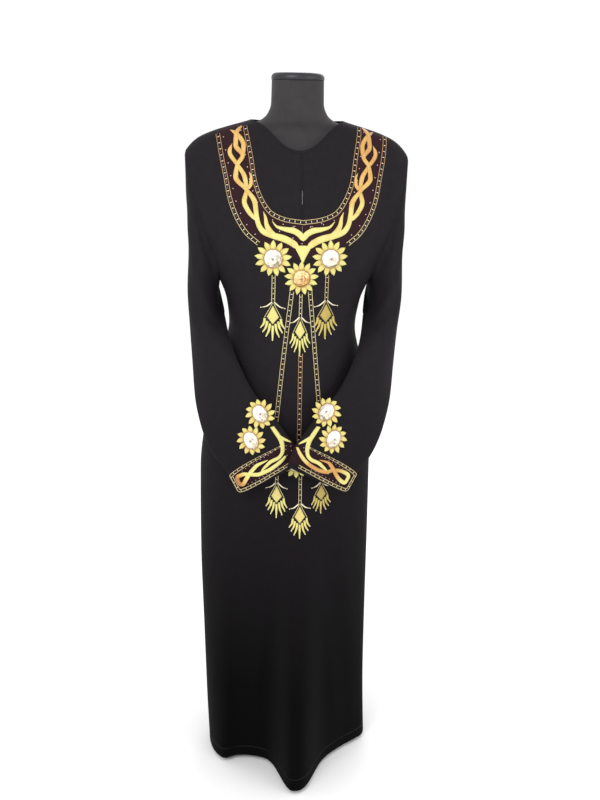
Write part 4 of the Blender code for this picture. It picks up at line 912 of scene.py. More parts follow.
def placed(name, data):
    """An object for some data, in the scene."""
    item = bpy.data.objects.new(name, data)
    bpy.context.scene.collection.objects.link(item)
    return item


def piece(name, parts, materials, nodes, sharp=SHARP_EDGE):
    """One object from parts, with the threads' direction as its UV map, standing for nodes."""
    starts = np.cumsum([0] + [len(part.points) for part in parts])
    faces = []
    slots = []
    for part, start in zip(parts, starts):
        faces += (part.quads + start).tolist() + (part.tris + start).tolist()
        slots += [part.material] * (len(part.quads) + len(part.tris))
    mesh = bpy.data.meshes.new(name)
    mesh.from_pydata(np.concatenate([part.points for part in parts]), [], faces)
    corners = np.empty(len(mesh.loops), dtype=np.int32)
    mesh.loops.foreach_get("vertex_index", corners)
    threads = np.concatenate([part.uv for part in parts])[corners]
    mesh.uv_layers.new(name="thread").uv.foreach_set("vector", threads.reshape(-1))
    warmth = mesh.attributes.new("warmth", "FLOAT", "POINT")
    warmth.data.foreach_set("value", np.concatenate([part.warmth for part in parts]))
    mesh.polygons.foreach_set("material_index", slots)
    for material in materials:
        mesh.materials.append(material)
    mesh.shade_smooth()
    mesh.set_sharp_from_angle(angle=math.radians(sharp))
    mesh.update()
    item = placed(name, mesh)
    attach(item, "root")
    if nodes:
        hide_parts(*nodes)
    return item


# What is laid on the cloth.  The points of a cross-section are (sideways, outwards)

DOME = np.array([(math.cos(a), math.sin(a)) for a in np.linspace(0, math.pi, 9)] + UNDERSIDE)
ROUND = np.array([(math.cos(a), 1 + math.sin(a)) for a in np.linspace(0, 2 * math.pi, 7)[:-1]])
BAND = np.array([(1, 0), (0.94, 0.7), (0.8, 1), (0.4, 1), (0, 1),
                 (-0.4, 1), (-0.8, 1), (-0.94, 0.7), (-1, 0)])


def per_row(values, path):
    """A value for each point of a path, as a column."""
    return np.broadcast_to(values, (len(path),))[:, None]


def strip(spot, path, halves, section, rise, lift=LAID, warmth=0.0, material=0):
    """A strip laid along a path: its section's points go out sideways and up from the cloth.

    A point is the cloth's point beside the path by half width times the section's first
    number, moved out by the lift and the rise times its second.
    """
    across = per_row(halves, path) * section[:, 0]
    places = path[:, None, :2] + right_of(path)[:, None] * across[..., None]
    points, normals = spot(places[..., 0], places[..., 1])
    out = per_row(lift, path) + per_row(rise, path) * section[:, 1]
    uv = stacked(run_lengths(path[:, :2])[:, None], across)
    return loft(points + normals * out[..., None], uv, warmth, material)


def line(spot, path, radius=LINE_RADIUS, warmth=0.0, material=0):
    """A fine round cord laid along a path."""
    return strip(spot, path, radius, ROUND, radius, STUD_LIFT, warmth, material)


def swell(count, ends, tips, power=0.7):
    """Widths along a stroke: full in the middle, drawn in over a share of it at its ends.

    Near an end the width is the tip's, and the rest of it times (away / end) ^ power.
    """
    place = np.linspace(0, 1, count)
    return np.minimum(*(tip + (1 - tip) * np.clip(away / end, 0, 1) ** power
                        for away, end, tip in zip((place, 1 - place), ends, tips)))


def studs(spot, places, runs, sizes, square=1.0, material=0, lift=STUD_LIFT):
    """Small rounded shapes on the cloth: beads, bars and stitches.

    Each is a ball's rings, (sin a cos t, sin a sin t, cos a), with its numbers raised to a
    power that squares it, stretched to its length, width and height.
    """
    places, runs = np.atleast_2d(places), np.atleast_2d(runs)
    points, normals = spot(places[:, 0], places[:, 1])
    near = places + runs * AHEAD_STEP
    ahead = spot(near[:, 0], near[:, 1])[0] - points
    ahead = unit(ahead - normals * np.sum(ahead * normals, axis=1, keepdims=True))
    side = np.cross(normals, ahead)
    level = math.pi * (np.arange(STUD_LEVELS) + 1) / (STUD_LEVELS + 1)
    level, turn = level[:, None], turns_of(STUD_SIDES)
    ball = stacked(np.sin(level) * np.cos(turn), np.sin(level) * np.sin(turn), np.cos(level))
    ball = np.concatenate([ball.reshape(-1, 3), [(0, 0, 1), (0, 0, -1)]])
    ball = np.sign(ball) * np.abs(ball) ** square * np.asarray(sizes) / 2
    middle = points + normals * (lift + sizes[2] / 2)
    shaped = (middle[:, None] + ahead[:, None] * ball[:, :1] + side[:, None] * ball[:, 1:2]
              + normals[:, None] * ball[:, 2:])
    start = (np.arange(len(points)) * len(ball))[:, None, None]
    quads, tris = tube_faces(STUD_LEVELS, STUD_SIDES)
    return as_part(shaped.reshape(-1, 3), quads + start, tris + start, material=material)


def marks_along(path, step, first=0.5):
    """Places at even steps along a path, with the path's direction there."""
    length = run_lengths(path[:, :2])
    count = max(1, int(length[-1] / step))
    at = (np.arange(count) + first) * length[-1] / count
    return [stacked(*(np.interp(at, length, values[:, k]) for k in (0, 1)))
            for values in (path, run_of(path))]


# Node groups shared by the materials

def node_group(name, outputs, **inputs):
    """An empty shader node group, with its inputs and outputs as the nodes inside see them.

    What an input starts from says its kind: a number, a colour, or nothing for a vector.
    """
    group = bpy.data.node_groups.new(name, "ShaderNodeTree")
    for label, value in inputs.items():
        kind = {type(None): "Vector", float: "Float", tuple: "Color"}[type(value)]
        socket = group.interface.new_socket(
            name=label, in_out="INPUT", socket_type="NodeSocket" + kind)
        if value is not None:
            socket.default_value = value
    for label, kind in outputs:
        group.interface.new_socket(name=label, in_out="OUTPUT", socket_type="NodeSocket" + kind)
    start = group.nodes.new("NodeGroupInput")
    end = group.nodes.new("NodeGroupOutput")
    return group, start.outputs, end.inputs


def set_or_link(tree, socket, value):
    """Links a socket's value if it comes from another socket, or else sets it."""
    if isinstance(value, bpy.types.NodeSocket):
        tree.links.new(value, socket)
    elif value is not None:
        socket.default_value = value


def maths(tree, operation, *values, clamp=False):
    """One step of arithmetic on numbers or sockets, clamped to 0 to 1 if asked."""
    node = tree.nodes.new("ShaderNodeMath")
    node.operation = operation
    node.use_clamp = clamp
    for socket, value in zip(node.inputs, values):
        set_or_link(tree, socket, value)
    return node.outputs[0]


def linear(tree, value, slope, start, clamp=False):
    """A value times a slope, plus a start."""
    return maths(tree, "MULTIPLY_ADD", value, slope, start, clamp=clamp)


def blend_colours(tree, share, one, two):
    """The first colour at a share of 0, the second at 1, and evenly mixed between."""
    node = tree.nodes.new("ShaderNodeMix")
    node.data_type = "RGBA"
    for place, value in ((0, share), (6, one), (7, two)):
        set_or_link(tree, node.inputs[place], value)
    return node.outputs[2]


def three_colours(tree, share, one, two, three):
    """A colour that runs through three as a share goes from 0 over a half to 1."""
    lower = maths(tree, "MULTIPLY", share, 2.0, clamp=True)
    upper = linear(tree, share, 2.0, -1.0, clamp=True)
    return blend_colours(tree, upper, blend_colours(tree, lower, one, two), three)


def noise(tree, vector, scale, detail, roughness):
    """Cloudy noise from 0 to 1, with a scale's number of patches to the vector's unit."""
    node = tree.nodes.new("ShaderNodeTexNoise")
    set_or_link(tree, node.inputs["Vector"], vector)
    set_or_link(tree, node.inputs["Scale"], scale)
    node.inputs["Detail"].default_value = detail
    node.inputs["Roughness"].default_value = roughness
    return node.outputs["Fac"]


def grain_group():
    """Cloth grain: pebbles of a size, and a slow mottle twelve sizes across."""
    group, start, end = node_group(
        "cloth grain", (("Relief", "Float"), ("Mottle", "Float")), Vector=None, Size=0.001)
    scale = maths(group, "DIVIDE", 1.0, start["Size"])
    group.links.new(noise(group, start["Vector"], scale, 2.0, 0.6), end["Relief"])
    slow = maths(group, "DIVIDE", scale, 12.0)
    group.links.new(noise(group, start["Vector"], slow, 3.0, 0.55), end["Mottle"])
    return group


def thread_group():
    """Laid threads: a wave of a pitch across their run, with a slight stray in each thread.

    The wave is half of 1 + sin(turns), where turns is (along + slant times across) / pitch.
    """
    group, start, end = node_group(
        "laid threads", (("Relief", "Float"), ("Stray", "Float")),
        Vector=None, Pitch=0.0005, Slant=0.4)
    split = group.nodes.new("ShaderNodeSeparateXYZ")
    group.links.new(start["Vector"], split.inputs[0])
    leaning = maths(group, "MULTIPLY", split.outputs[1], start["Slant"])
    place = maths(group, "DIVIDE", maths(group, "ADD", split.outputs[0], leaning), start["Pitch"])
    wave = maths(group, "SINE", maths(group, "MULTIPLY", place, 2 * math.pi))
    group.links.new(linear(group, wave, 0.5, 0.5), end["Relief"])
    strand = group.nodes.new("ShaderNodeCombineXYZ")
    group.links.new(place, strand.inputs[0])
    group.links.new(maths(group, "MULTIPLY", split.outputs[1], 300.0), strand.inputs[1])
    group.links.new(noise(group, strand.outputs[0], 0.55, 2.0, 0.6), end["Stray"])
    return group


def thread_colour_group():
    """Thread colour from its warmth: pale, then full, then deep, with painted shade down between
    threads.
    """
    white = (1, 1, 1, 1)
    group, start, end = node_group(
        "thread colour", (("Color", "Color"),),
        Warmth=0.0, Relief=1.0, Stray=0.5, Pale=white, Full=white, Deep=white)
    warmth = maths(group, "ADD", start["Warmth"], linear(group, start["Stray"], 0.5, -0.25))
    colour = three_colours(group, warmth, start["Pale"], start["Full"], start["Deep"])
    # Painted shade in the grooves between threads, blended towards near black
    dark = linear(group, start["Relief"], -0.35, 0.35)
    group.links.new(blend_colours(group, dark, colour, (0.02, 0.01, 0.0, 1)), end["Color"])
    return group


GRAIN = grain_group()
THREADS = thread_group()
THREAD_COLOUR = thread_colour_group()


# Materials.  A colour is (red, green, blue)

def rgba(colour, share=1.0):
    """A colour, or a share of its strength, with full cover."""
    return (*(value * share for value in colour), 1)


def plain_material(name, colour, roughness, metallic=0.0, **constants):
    """A Principled BSDF with its constant values set on its own sockets."""
    material = bpy.data.materials.new(name)
    material.use_nodes = True
    material.diffuse_color = rgba(colour)
    shader = material.node_tree.nodes["Principled BSDF"].inputs
    constants.update(Base_Color=rgba(colour), Roughness=roughness, Metallic=metallic)
    for label, value in constants.items():
        shader[label.replace("_", " ")].default_value = value
    return material, material.node_tree, shader


def coordinates(tree, output="Object"):
    """The points of the surface: in the object's own metres, or in its map."""
    return tree.nodes.new("ShaderNodeTexCoord").outputs[output]


def attribute(tree, name):
    """A value that the mesh holds for each point or face."""
    node = tree.nodes.new("ShaderNodeAttribute")
    node.attribute_name = name
    return node.outputs["Fac"]


def placed_group(tree, group, **values):
    """A shared node group in a material, with its inputs set or linked; its outputs."""
    node = tree.nodes.new("ShaderNodeGroup")
    node.node_tree = group
    for label, value in values.items():
        set_or_link(tree, node.inputs[label], value)
    return node.outputs


def grain_of(tree, size):
    """The shared cloth grain on the object's own coordinates."""
    return placed_group(tree, GRAIN, Vector=coordinates(tree), Size=size)


def laid_threads(tree, pitch, slant):
    """The shared thread relief on the threads' direction, which the UV map holds."""
    return placed_group(tree, THREADS, Vector=coordinates(tree, "UV"), Pitch=pitch, Slant=slant)


def add_bump(tree, shader, height, strength, distance):
    """Tilts the surface by the slope of a height times a distance in metres."""
    bump = tree.nodes.new("ShaderNodeBump")
    bump.inputs["Strength"].default_value = strength
    bump.inputs["Distance"].default_value = distance
    tree.links.new(height, bump.inputs["Height"])
    tree.links.new(bump.outputs[0], shader["Normal"])


def crepe():
    """Matt black crepe, and the maroon ground where it is embroidered all over.

    Its colour varies with a mottle, is the ground's by the share of embroidery, and darkens
    evenly with the height down the skirt as painted shade.  It is rougher on its grain and down
    the skirt.
    """
    material, tree, shader = plain_material(
        "black crepe", CREPE, 0.8, Specular_IOR_Level=0.08, Sheen_Weight=0.01, Sheen_Roughness=0.5)
    grain = grain_of(tree, 0.0011)
    shade = blend_colours(tree, grain["Mottle"], rgba(CREPE), rgba(CREPE, CREPE_MOTTLE))
    shade = blend_colours(tree, attribute(tree, "warmth"), shade, rgba(CREPE_GROUND))
    place = tree.nodes.new("ShaderNodeSeparateXYZ")
    tree.links.new(coordinates(tree), place.inputs[0])
    # Painted shade: the colour darkens towards the hem, where less light falls
    low = linear(tree, place.outputs["Z"], -SKIRT_SHADE_SLOPE, SKIRT_SHADE_START, clamp=True)
    shade = blend_colours(tree, low, shade, rgba(CREPE, SKIRT_SHADE_SHARE))
    tree.links.new(shade, shader["Base Color"])
    rough = linear(tree, grain["Relief"], slope=0.22, start=0.68)
    tree.links.new(linear(tree, low, 0.25, rough, clamp=True), shader["Roughness"])
    add_bump(tree, shader, grain["Relief"], strength=0.55, distance=0.0004)
    return material


def jersey():
    """The form's knitted cover: rows of small stitches over a soft grain, added together."""
    material, tree, shader = plain_material(
        "form jersey", JERSEY, 0.9, Specular_IOR_Level=0.2, Sheen_Weight=0.1)
    grain = grain_of(tree, 0.0016)
    knit = laid_threads(tree, pitch=0.0014, slant=0.0)
    shade = blend_colours(tree, grain["Mottle"], rgba(JERSEY), rgba(JERSEY, 1.5))
    tree.links.new(shade, shader["Base Color"])
    relief = maths(tree, "ADD", knit["Relief"], grain["Relief"])
    add_bump(tree, shader, relief, strength=0.4, distance=0.0003)
    return material


def thread_material(name, pale, full, deep, pitch, slant, roughness, depth):
    """Embroidery thread: its colour by its warmth, its relief along the threads' direction."""
    material, tree, shader = plain_material(name, full, roughness, Specular_IOR_Level=0.6)
    laid = laid_threads(tree, pitch, slant)
    colour = placed_group(
        tree, THREAD_COLOUR, Warmth=attribute(tree, "warmth"), Relief=laid["Relief"],
        Stray=laid["Stray"], Pale=rgba(pale), Full=rgba(full), Deep=rgba(deep))
    tree.links.new(colour["Color"], shader["Base Color"])
    tree.links.new(linear(tree, laid["Stray"], 0.25, roughness - 0.12), shader["Roughness"])
    add_bump(tree, shader, laid["Relief"], 0.7, depth)
    return material


def stone_material(name, light, middle, dark):
    """A foil-backed stone: each facet takes a painted reflection of three colours, and its middle has
    painted shade.

    The middle's share is 1.15 less six times the share of the way out, between 0 and 1.
    """
    material, tree, shader = plain_material(
        name, light, 0.1, 0.30, Coat_Weight=0.6, Coat_Roughness=0.03)
    # Painted reflections: each facet's colour, light to dark, stands for what it reflects
    colour = three_colours(tree, attribute(tree, "facet"), rgba(light), rgba(middle), rgba(dark))
    # Painted shade at the stone's middle, from the share of the way out
    centre = linear(tree, attribute(tree, "warmth"), -6.0, 1.15, clamp=True)
    colour = blend_colours(tree, centre, colour, rgba(dark, 0.3))
    tree.links.new(colour, shader["Base Color"])
    flecks = noise(tree, coordinates(tree), 900.0, 2.0, 0.5)
    tree.links.new(linear(tree, flecks, 0.2, 0.0), shader["Roughness"])
    return material


def enamel(name, colour, roughness=0.25, metallic=0.1):
    """Painted or cast metal, with a fine unevenness in its gloss."""
    material, tree, shader = plain_material(name, colour, roughness, metallic)
    grain = grain_of(tree, 0.004)
    tree.links.new(linear(tree, grain["Mottle"], 0.25, roughness - 0.1), shader["Roughness"])
    add_bump(tree, shader, grain["Relief"], strength=0.1, distance=0.0002)
    return material


CREPE = (0.0112, 0.0096, 0.0112)
CREPE_MOTTLE = 1.45
# Painted shade down the skirt: its slope with height, its start, and the share of colour left at its
# darkest
SKIRT_SHADE_SLOPE = 1.3
SKIRT_SHADE_START = 1.25
SKIRT_SHADE_SHARE = 0.12
CREPE_GROUND = (0.0260, 0.0105, 0.0135)
JERSEY = (0.030, 0.027, 0.029)
# Pitch and slant of the threads, roughness, and depth of the relief
SATIN_THREADS = (0.00052, 0.45, 0.36, 0.00022)
CORD_THREADS = (0.0011, 1.4, 0.42, 0.0003)
black_crepe = crepe()
form_jersey = jersey()
satin = thread_material(
    "gold satin stitch", (0.88, 0.84, 0.27), (0.80, 0.46, 0.11), (0.45, 0.13, 0.028), *SATIN_THREADS)
old_gold = thread_material(
    "old gold satin stitch", (0.80, 0.68, 0.20), (0.52, 0.37, 0.05), (0.30, 0.15, 0.02), *SATIN_THREADS)
cord = thread_material(
    "chain cord", (0.95, 0.87, 0.42), (0.66, 0.40, 0.17), (0.40, 0.12, 0.05), *CORD_THREADS)
pale_bead = enamel("pale bead", (0.86, 0.76, 0.56))
rose_bead = enamel("rose bead", (0.62, 0.46, 0.47))
lilac_bead = enamel("lilac bead", (0.62, 0.42, 0.52))
# Painted highlight: a pale grey for the glints along the neck opening
slit_glint = enamel("slit glint", (0.34, 0.32, 0.33), 0.5, 0.0)
black_bar = enamel("black bugle", (0.012, 0.010, 0.012), 0.22, 0.0)
rim_metal = enamel("stone rim", (0.52, 0.34, 0.14), 0.35, 0.8)
stand_metal = enamel("stand metal", (0.05, 0.05, 0.055), 0.38, 0.9)
# Light, middle and dark colours of the stones' painted reflections and painted shade
clear_stone = stone_material(
    "clear stone", (0.96, 0.95, 0.90), (0.70, 0.62, 0.48), (0.26, 0.18, 0.10))
amber_stone = stone_material(
    "amber stone", (0.93, 0.70, 0.36), (0.62, 0.31, 0.08), (0.30, 0.11, 0.02))


# Cloth pieces

def share_seams(normals, sleeve_normals):
    """One common direction through the cloth along each seam, so that both walls meet there."""
    front, back = normals[-1], normals[1]
    start = len(SKIRT_HEIGHTS)
    rise = ARMHOLE_STEPS
    steps = np.arange(1, rise)
    for edge, side in ((0, -1), (-1, 1)):
        ring = sleeve_normals[side][0]
        low = unit(front[:start, edge] + back[:start, edge])
        front[:start, edge] = back[:start, edge] = low
        for cloth, way in ((front, -1), (back, 1)):
            both = unit(cloth[start + steps, edge] + ring[rise + way * steps])
            cloth[start + steps, edge] = ring[rise + way * steps] = both
        for row, place in ((start, rise), (start + rise, 0)):
            common = unit(front[row, edge] + back[row, edge] + 2 * ring[place])
            front[row, edge] = back[row, edge] = ring[place] = common
    seam = np.abs(panel_columns() * TIP_HALF) > NECK_HALF - 1e-6
    seam[[0, -1]] = False
    front[-1, seam] = back[-1, seam] = unit(front[-1, seam] + back[-1, seam])


def drawn_in(edge, inside, gap):
    """An edge moved towards the points inside it, by a gap."""
    return edge + unit(inside - edge) * gap


def chest_ground(grid):
    """1 between the outer and the inner chain, 0 elsewhere, with soft edges."""
    u = grid[..., 0] - EMBROIDERY_CENTRE
    height = grid[..., 2]
    u = np.abs(2 * u - worn(u, height))
    half, rise = np.array(CHEST_GROUND_FOOT + CHAIN_OUTER[::-1]).T
    outer = smooth_step(-CHEST_SOFT, CHEST_SOFT, np.interp(height, rise, half) - u)
    half, rise = np.array(CHEST_GROUND_GAP + CHAIN_INNER[::-1]).T
    inner = smooth_step(-CHEST_SOFT, CHEST_SOFT, u - np.interp(height, rise, half))
    return outer * inner * (height < CHEST_GROUND_TOP)


def cuff_ground(rows, turns):
    """1 inside the chain round a cuff's band, and on to its inner fold."""
    along = (1 - np.cos(2 * math.pi * turns)) / 2
    up = (len(SLEEVE_SECTIONS) - rows) * CUFF_ROW_HEIGHT
    low, high = (np.interp(along, *np.array(edge).T) for edge in CUFF_GROUND)
    inside = smooth_step(-CUFF_SOFT, CUFF_SOFT, up - low) * smooth_step(-CUFF_SOFT, CUFF_SOFT, high - up)
    return inside * (turns < 0.5) * smooth_step(0.03, 0.06, along)


def sleeve_normals_of(grid, side):
    """Unit normals of a sleeve's grid, away from the body at its outer fold."""
    normal = grid_normals(grid, True)
    return normal * np.sign(normal[OUTER_FOLD_ROW, 0, 0] * side)


def sleeve_grid(panels, side, edge, rows, turns):
    """A sleeve's surface from the armhole's cut through its sections, with its creases.

    Each line down the sleeve is a smooth curve through its sections' rings, and the creases
    stand out along its normals, growing over the first section.
    """
    start = len(SKIRT_HEIGHTS)
    front, back = panels[-1][start:, edge], panels[1][start:, edge]
    ring = np.concatenate([front[::-1], back[1:-1]])
    controls = np.concatenate([ring[None], sleeve_controls(side, turns)])
    grid = smooth_curve(np.arange(len(controls)), controls, rows)
    creases = sleeve_creases(rows[:, None], turns[None]) * smooth_step(0, 1, rows)[:, None]
    return grid + sleeve_normals_of(grid, side) * creases[..., None]


def cloth_piece(name, outer, normals, closed, ground):
    """A wall from an outer surface to the same surface moved in by the cloth's thickness."""
    cloth = wall(outer, outer - CLOTH * normals, closed, ground)
    return piece(name + "_cloth", [cloth], [black_crepe], [name])


def make_cloth():
    """The front, the back and both sleeves, each a wall on the inside of its surface."""
    panels = {side: panel_grid(side) for side in (-1, 1)}
    turns = np.arange(2 * ARMHOLE_STEPS) / (2 * ARMHOLE_STEPS)
    count = len(SLEEVE_SECTIONS)
    rows = np.linspace(0, count, count * SLEEVE_ROWS_BETWEEN + 1)
    sleeves = {side: sleeve_grid(panels, side, edge, rows, turns) for side, edge in ((-1, 0), (1, -1))}
    normals = {side: grid_normals(panels[side], False) * -side for side in (-1, 1)}
    sleeve_normals = {side: sleeve_normals_of(sleeves[side], side) for side in (-1, 1)}
    share_seams(normals, sleeve_normals)
    for side, name in ((-1, "front"), (1, "back")):
        outer = panels[side].copy()
        for edge, inside in ((0, 1), (-1, -2)):
            outer[:, edge] = drawn_in(outer[:, edge], outer[:, inside], SEAM / 2)
        outer[-1] = drawn_in(outer[-1], outer[-2], SEAM / 2)
        ground = chest_ground(outer) if side < 0 else np.zeros(outer.shape[:2])
        cloth_piece(name, outer, normals[side], False, ground)
    for side, word in SIDES:
        outer = sleeves[side].copy()
        outer[0] = drawn_in(outer[0], outer[1], SEAM)
        ground = cuff_ground(rows[:, None], turns[None])
        cloth_piece("sleeve_" + word, outer, sleeve_normals[side], True, ground)
    return panels, normals


def smooth_loop(vectors, passes=6):
    """Directions round a loop, each blended a few times with the ones beside it."""
    for _ in range(passes):
        vectors = (np.roll(vectors, 1, axis=0) + 2 * vectors + np.roll(vectors, -1, axis=0)) / 4
    return unit(vectors)


def neck_binding(panels, normals):
    """The binding folded over the neckline: an oval band round the cloth's edge."""
    neck = slice(SHOULDER_COLUMNS, SHOULDER_COLUMNS + NECK_COLUMNS + 1)
    parts = {}
    for side in (-1, 1):
        top = panels[side][-1, neck]
        parts[side] = [top, unit(panels[side][-4, neck] - top), normals[side][-2, neck]]
    for end in (0, -1):
        for k in (1, 2):
            both = unit(parts[-1][k][end] + parts[1][k][end])
            parts[-1][k][end] = parts[1][k][end] = both
    top, down, out = (np.concatenate([parts[-1][k], parts[1][k][-2:0:-1]]) for k in range(3))
    down, out = smooth_loop(down), smooth_loop(out)
    angle = turns_of(BINDING_SIDES)[:, None]
    middle = top + down * (NECK_BINDING / 2 - BINDING_OVER) - out * CLOTH / 2
    return closed_loop(middle[:, None] + down[:, None] * np.cos(angle) * NECK_BINDING / 2
                       + out[:, None] * np.sin(angle) * (CLOTH / 2 + BINDING_THICK))


def neck_slit():
    """The front opening below the neckline: two narrow bindings, and pale lines painted as glints along
    it.
    """
    parts = []
    for u in (-SLIT_APART, SLIT_APART):
        path = stacked(u, np.linspace(*SLIT_ENDS, 60))
        parts.append(strip(front_spot, path, SLIT_HALF, DOME, SLIT_RISE))
    # Painted highlight: pale lines where the opening's edge glints
    for ends in SLIT_GLINTS:
        path = stacked(0.0, np.linspace(*ends, 12))
        parts.append(line(front_spot, path, SLIT_GLINT_RADIUS, 0.0, 1))
    return parts


def hem_stitches():
    """Topstitching above the hem, on the front and the back."""
    parts = []
    height = HEM_HEIGHT + HEM_WIDTH
    x = np.linspace(-HEM_REACH, HEM_REACH, 400) * body_value("half", height)
    x = x + body_value("centre", height)
    for side in (-1, 1):
        runs = run_lengths(cloth_point(x, height, side))
        places = stacked(np.interp(np.arange(0.002, runs[-1], HEM_STITCH_STEP), runs, x), height)
        parts.append(studs(lambda u, v, side=side: cloth_spot(u, v, side), places, LEVEL,
                           HEM_STITCH, STITCH_SQUARE, lift=0.0))
    return parts


# Embroidery

def satin_strand(spot, path, halves, warmth):
    """A padded strand of satin stitch, flatter where it is narrow, lifted where it passes over.

    Painted shade makes it deeper towards its edges, by the square of the way there, and more so on one
    side.
    """
    rise = STRAND_RISE * (THIN_RISE + (1 - THIN_RISE) * halves / halves.max())
    across = DOME[:, 0]
    # Painted shade: deeper colour towards the strand's edges, more on one side
    warmth = per_row(warmth, path) + EDGE_SHADE * across ** 2 * (1 + EDGE_SHADE_LEAN * across)
    return strip(spot, path, halves, DOME, rise, LAID + OVER * path[:, 2], np.clip(warmth, 0, 1))


def strand_piece(name, spot, path, halves, warmth):
    """A piece that is one satin strand along a path."""
    strand = satin_strand(spot, path, halves, warmth)
    piece(name + "_stitch", [strand], [satin], [name])


def chain_piece(name, spot, path, gauge, tone):
    """A chain trim: two fine cords with black bars and pale beads between them by turns."""
    parts = []
    for way in (-1, 1):
        side = beside(path, way * gauge / 2)
        parts.append(line(spot, side, LINE_RADIUS, tone(side[:, 1])))
    bead = (BEAD_SIZE, gauge * BEAD_ACROSS, BEAD_SIZE * FLAT)
    parts.append(studs(spot, *marks_along(path, BEAD_STEP), bead, BEAD_SQUARE, 1))
    bar = (BAR_LENGTH, BAR_WIDTH, BAR_WIDTH * FLAT)
    parts.append(studs(spot, *marks_along(path, BEAD_STEP, 0.0), bar, BAR_SQUARE, 2))
    piece(name + "_trim", parts, [cord, pale_bead, black_bar], [name])


def tone_at(table, share=1.0):
    """Warmth by height, read from a table by straight lines between its rows."""
    heights, values = np.array(table).T
    return lambda at: share * np.interp(at, heights, values)


def make_chains():
    """The two chains that bound the chest's embroidery, and the three down the front."""
    front_tone = tone_at(CHAIN_WARMTH)
    inner = both_halves(even_path(CHAIN_INNER, CHAIN_STEP))
    chain_piece("chain_inner", neckband_spot, inner, CHAIN_GAUGE, front_tone)
    for side, word in SIDES:
        for name, rows, tone in (("chain_outer_", CHAIN_OUTER, front_tone),
                                 ("chain_front_", CHAIN_FRONT_SIDE, tone_at(CHAIN_WARMTH, PALE_SHARE))):
            path = on_side(even_path(rows, CHAIN_STEP), side)
            chain_piece(name + word, neckband_spot, path, CHAIN_GAUGE, tone)
    middle = even_path(CHAIN_FRONT_MIDDLE, CHAIN_STEP)
    chain_piece("chain_front_middle", front_spot, middle, CHAIN_GAUGE, front_tone)


def vine_tone(path, side):
    """Lemon low down and more orange towards the shoulders, deepest on the right.

    A slow wander is added, a sine of the height times a sine of the place across.
    """
    wander = VINE_WANDER * np.sin(path[:, 1] * 130 + side) * np.sin(path[:, 0] * 210)
    tone = tone_at(SATIN_WARMTH)(path[:, 1]) * (1.0 if side > 0 else VINE_LEFT_SHARE)
    return np.clip(tone + wander, 0, 1)


def make_vines():
    """The strands beside the neck, the leaves, the crescent and the funnel."""
    for side, word in SIDES:
        for name, rows, width, ends, tips in VINES:
            path = on_side(even_path(rows, VINE_STEP), side)
            halves = swell(len(path), ends, tips) * path[:, 3] * width / 2
            strand_piece(name + word, neckband_spot, path, halves, vine_tone(path, side))
    both = both_halves(even_path(CRESCENT, VINE_STEP))
    halves = swell(len(both), *CRESCENT_ENDS) * CRESCENT_WIDTH / 2
    crescent = strip(neckband_spot, both, halves, DOME, STRAND_RISE, warmth=CRESCENT_WARMTH)
    piece("crescent_stitch", [crescent], [satin], ["crescent"])
    widths, places = np.array(FUNNEL).T
    heights = np.linspace(places[0], places[-1], FUNNEL_ROWS)
    widths = smooth_curve(places[::-1], widths[::-1], heights)
    funnel = strip(neckband_spot, stacked(0.0, heights), widths, DOME, STRAND_RISE * 1.1)
    piece("funnel_stitch", [funnel], [satin], ["funnel"])


def cuff_tone(path, side):
    """On the left orange at the outer loop; on the right orange-gold along the inner strands.

    On the left it falls by six times the share across.  On the right it rises smoothly over
    the first third, and falls again over a short stretch near three quarters.
    """
    along = path[:, 0] / CUFF_SPAN
    if side < 0:
        return np.clip(1.35 - along * 6.0, 0.03, 0.85)
    warm = np.clip(smooth_step(0.16, 0.34, along) * 0.62 + 0.04, 0, 1)
    return warm * (1 - 0.7 * smooth_step(0.72, 0.8, along))


def make_cuffs():
    """On each cuff: the chain round the band, the looped vine, the stalk and its leaf."""
    for side, word in SIDES:
        spot = cuff_spot(side)
        chain_piece("cuff_chain_" + word, spot, cuff_path(CUFF_CHAIN, CUFF_CHAIN_STEP), CUFF_CHAIN_GAUGE,
                    lambda heights: np.full(heights.shape, CUFF_CHAIN_WARMTH))
        for name, rows, ends, tips in (
            ("cuff_vine_", CUFF_LOOP[side], (0.12, 0.08), (0.15, 0.5)),
            ("cuff_stalk_", CUFF_STALK, (0.1, 0.2), (0.8, 0.15)),
            ("cuff_leaf_", CUFF_LEAF, (0.3, 0.75), (0.7, 0.08)),
        ):
            path = cuff_path(rows, CUFF_STRAND_STEP)
            halves = swell(len(path), ends, tips) * CUFF_STRAND_WIDTH / 2
            tone = cuff_tone(path, side) if name == "cuff_vine_" else CUFF_STRAND_WARMTH
            strand_piece(name + word, spot, path, halves, tone)


def seat_ring(turns, reach, lean):
    """Places round a stone: a circle, or an oval that leans to one side."""
    if lean is None:
        return reach * np.sin(turns), reach * np.cos(turns)
    u = reach * OVAL_NARROW * np.sin(turns)
    v = reach * OVAL_TALL * np.cos(turns)
    return u * math.cos(lean) + v * math.sin(lean), v * math.cos(lean) - u * math.sin(lean)


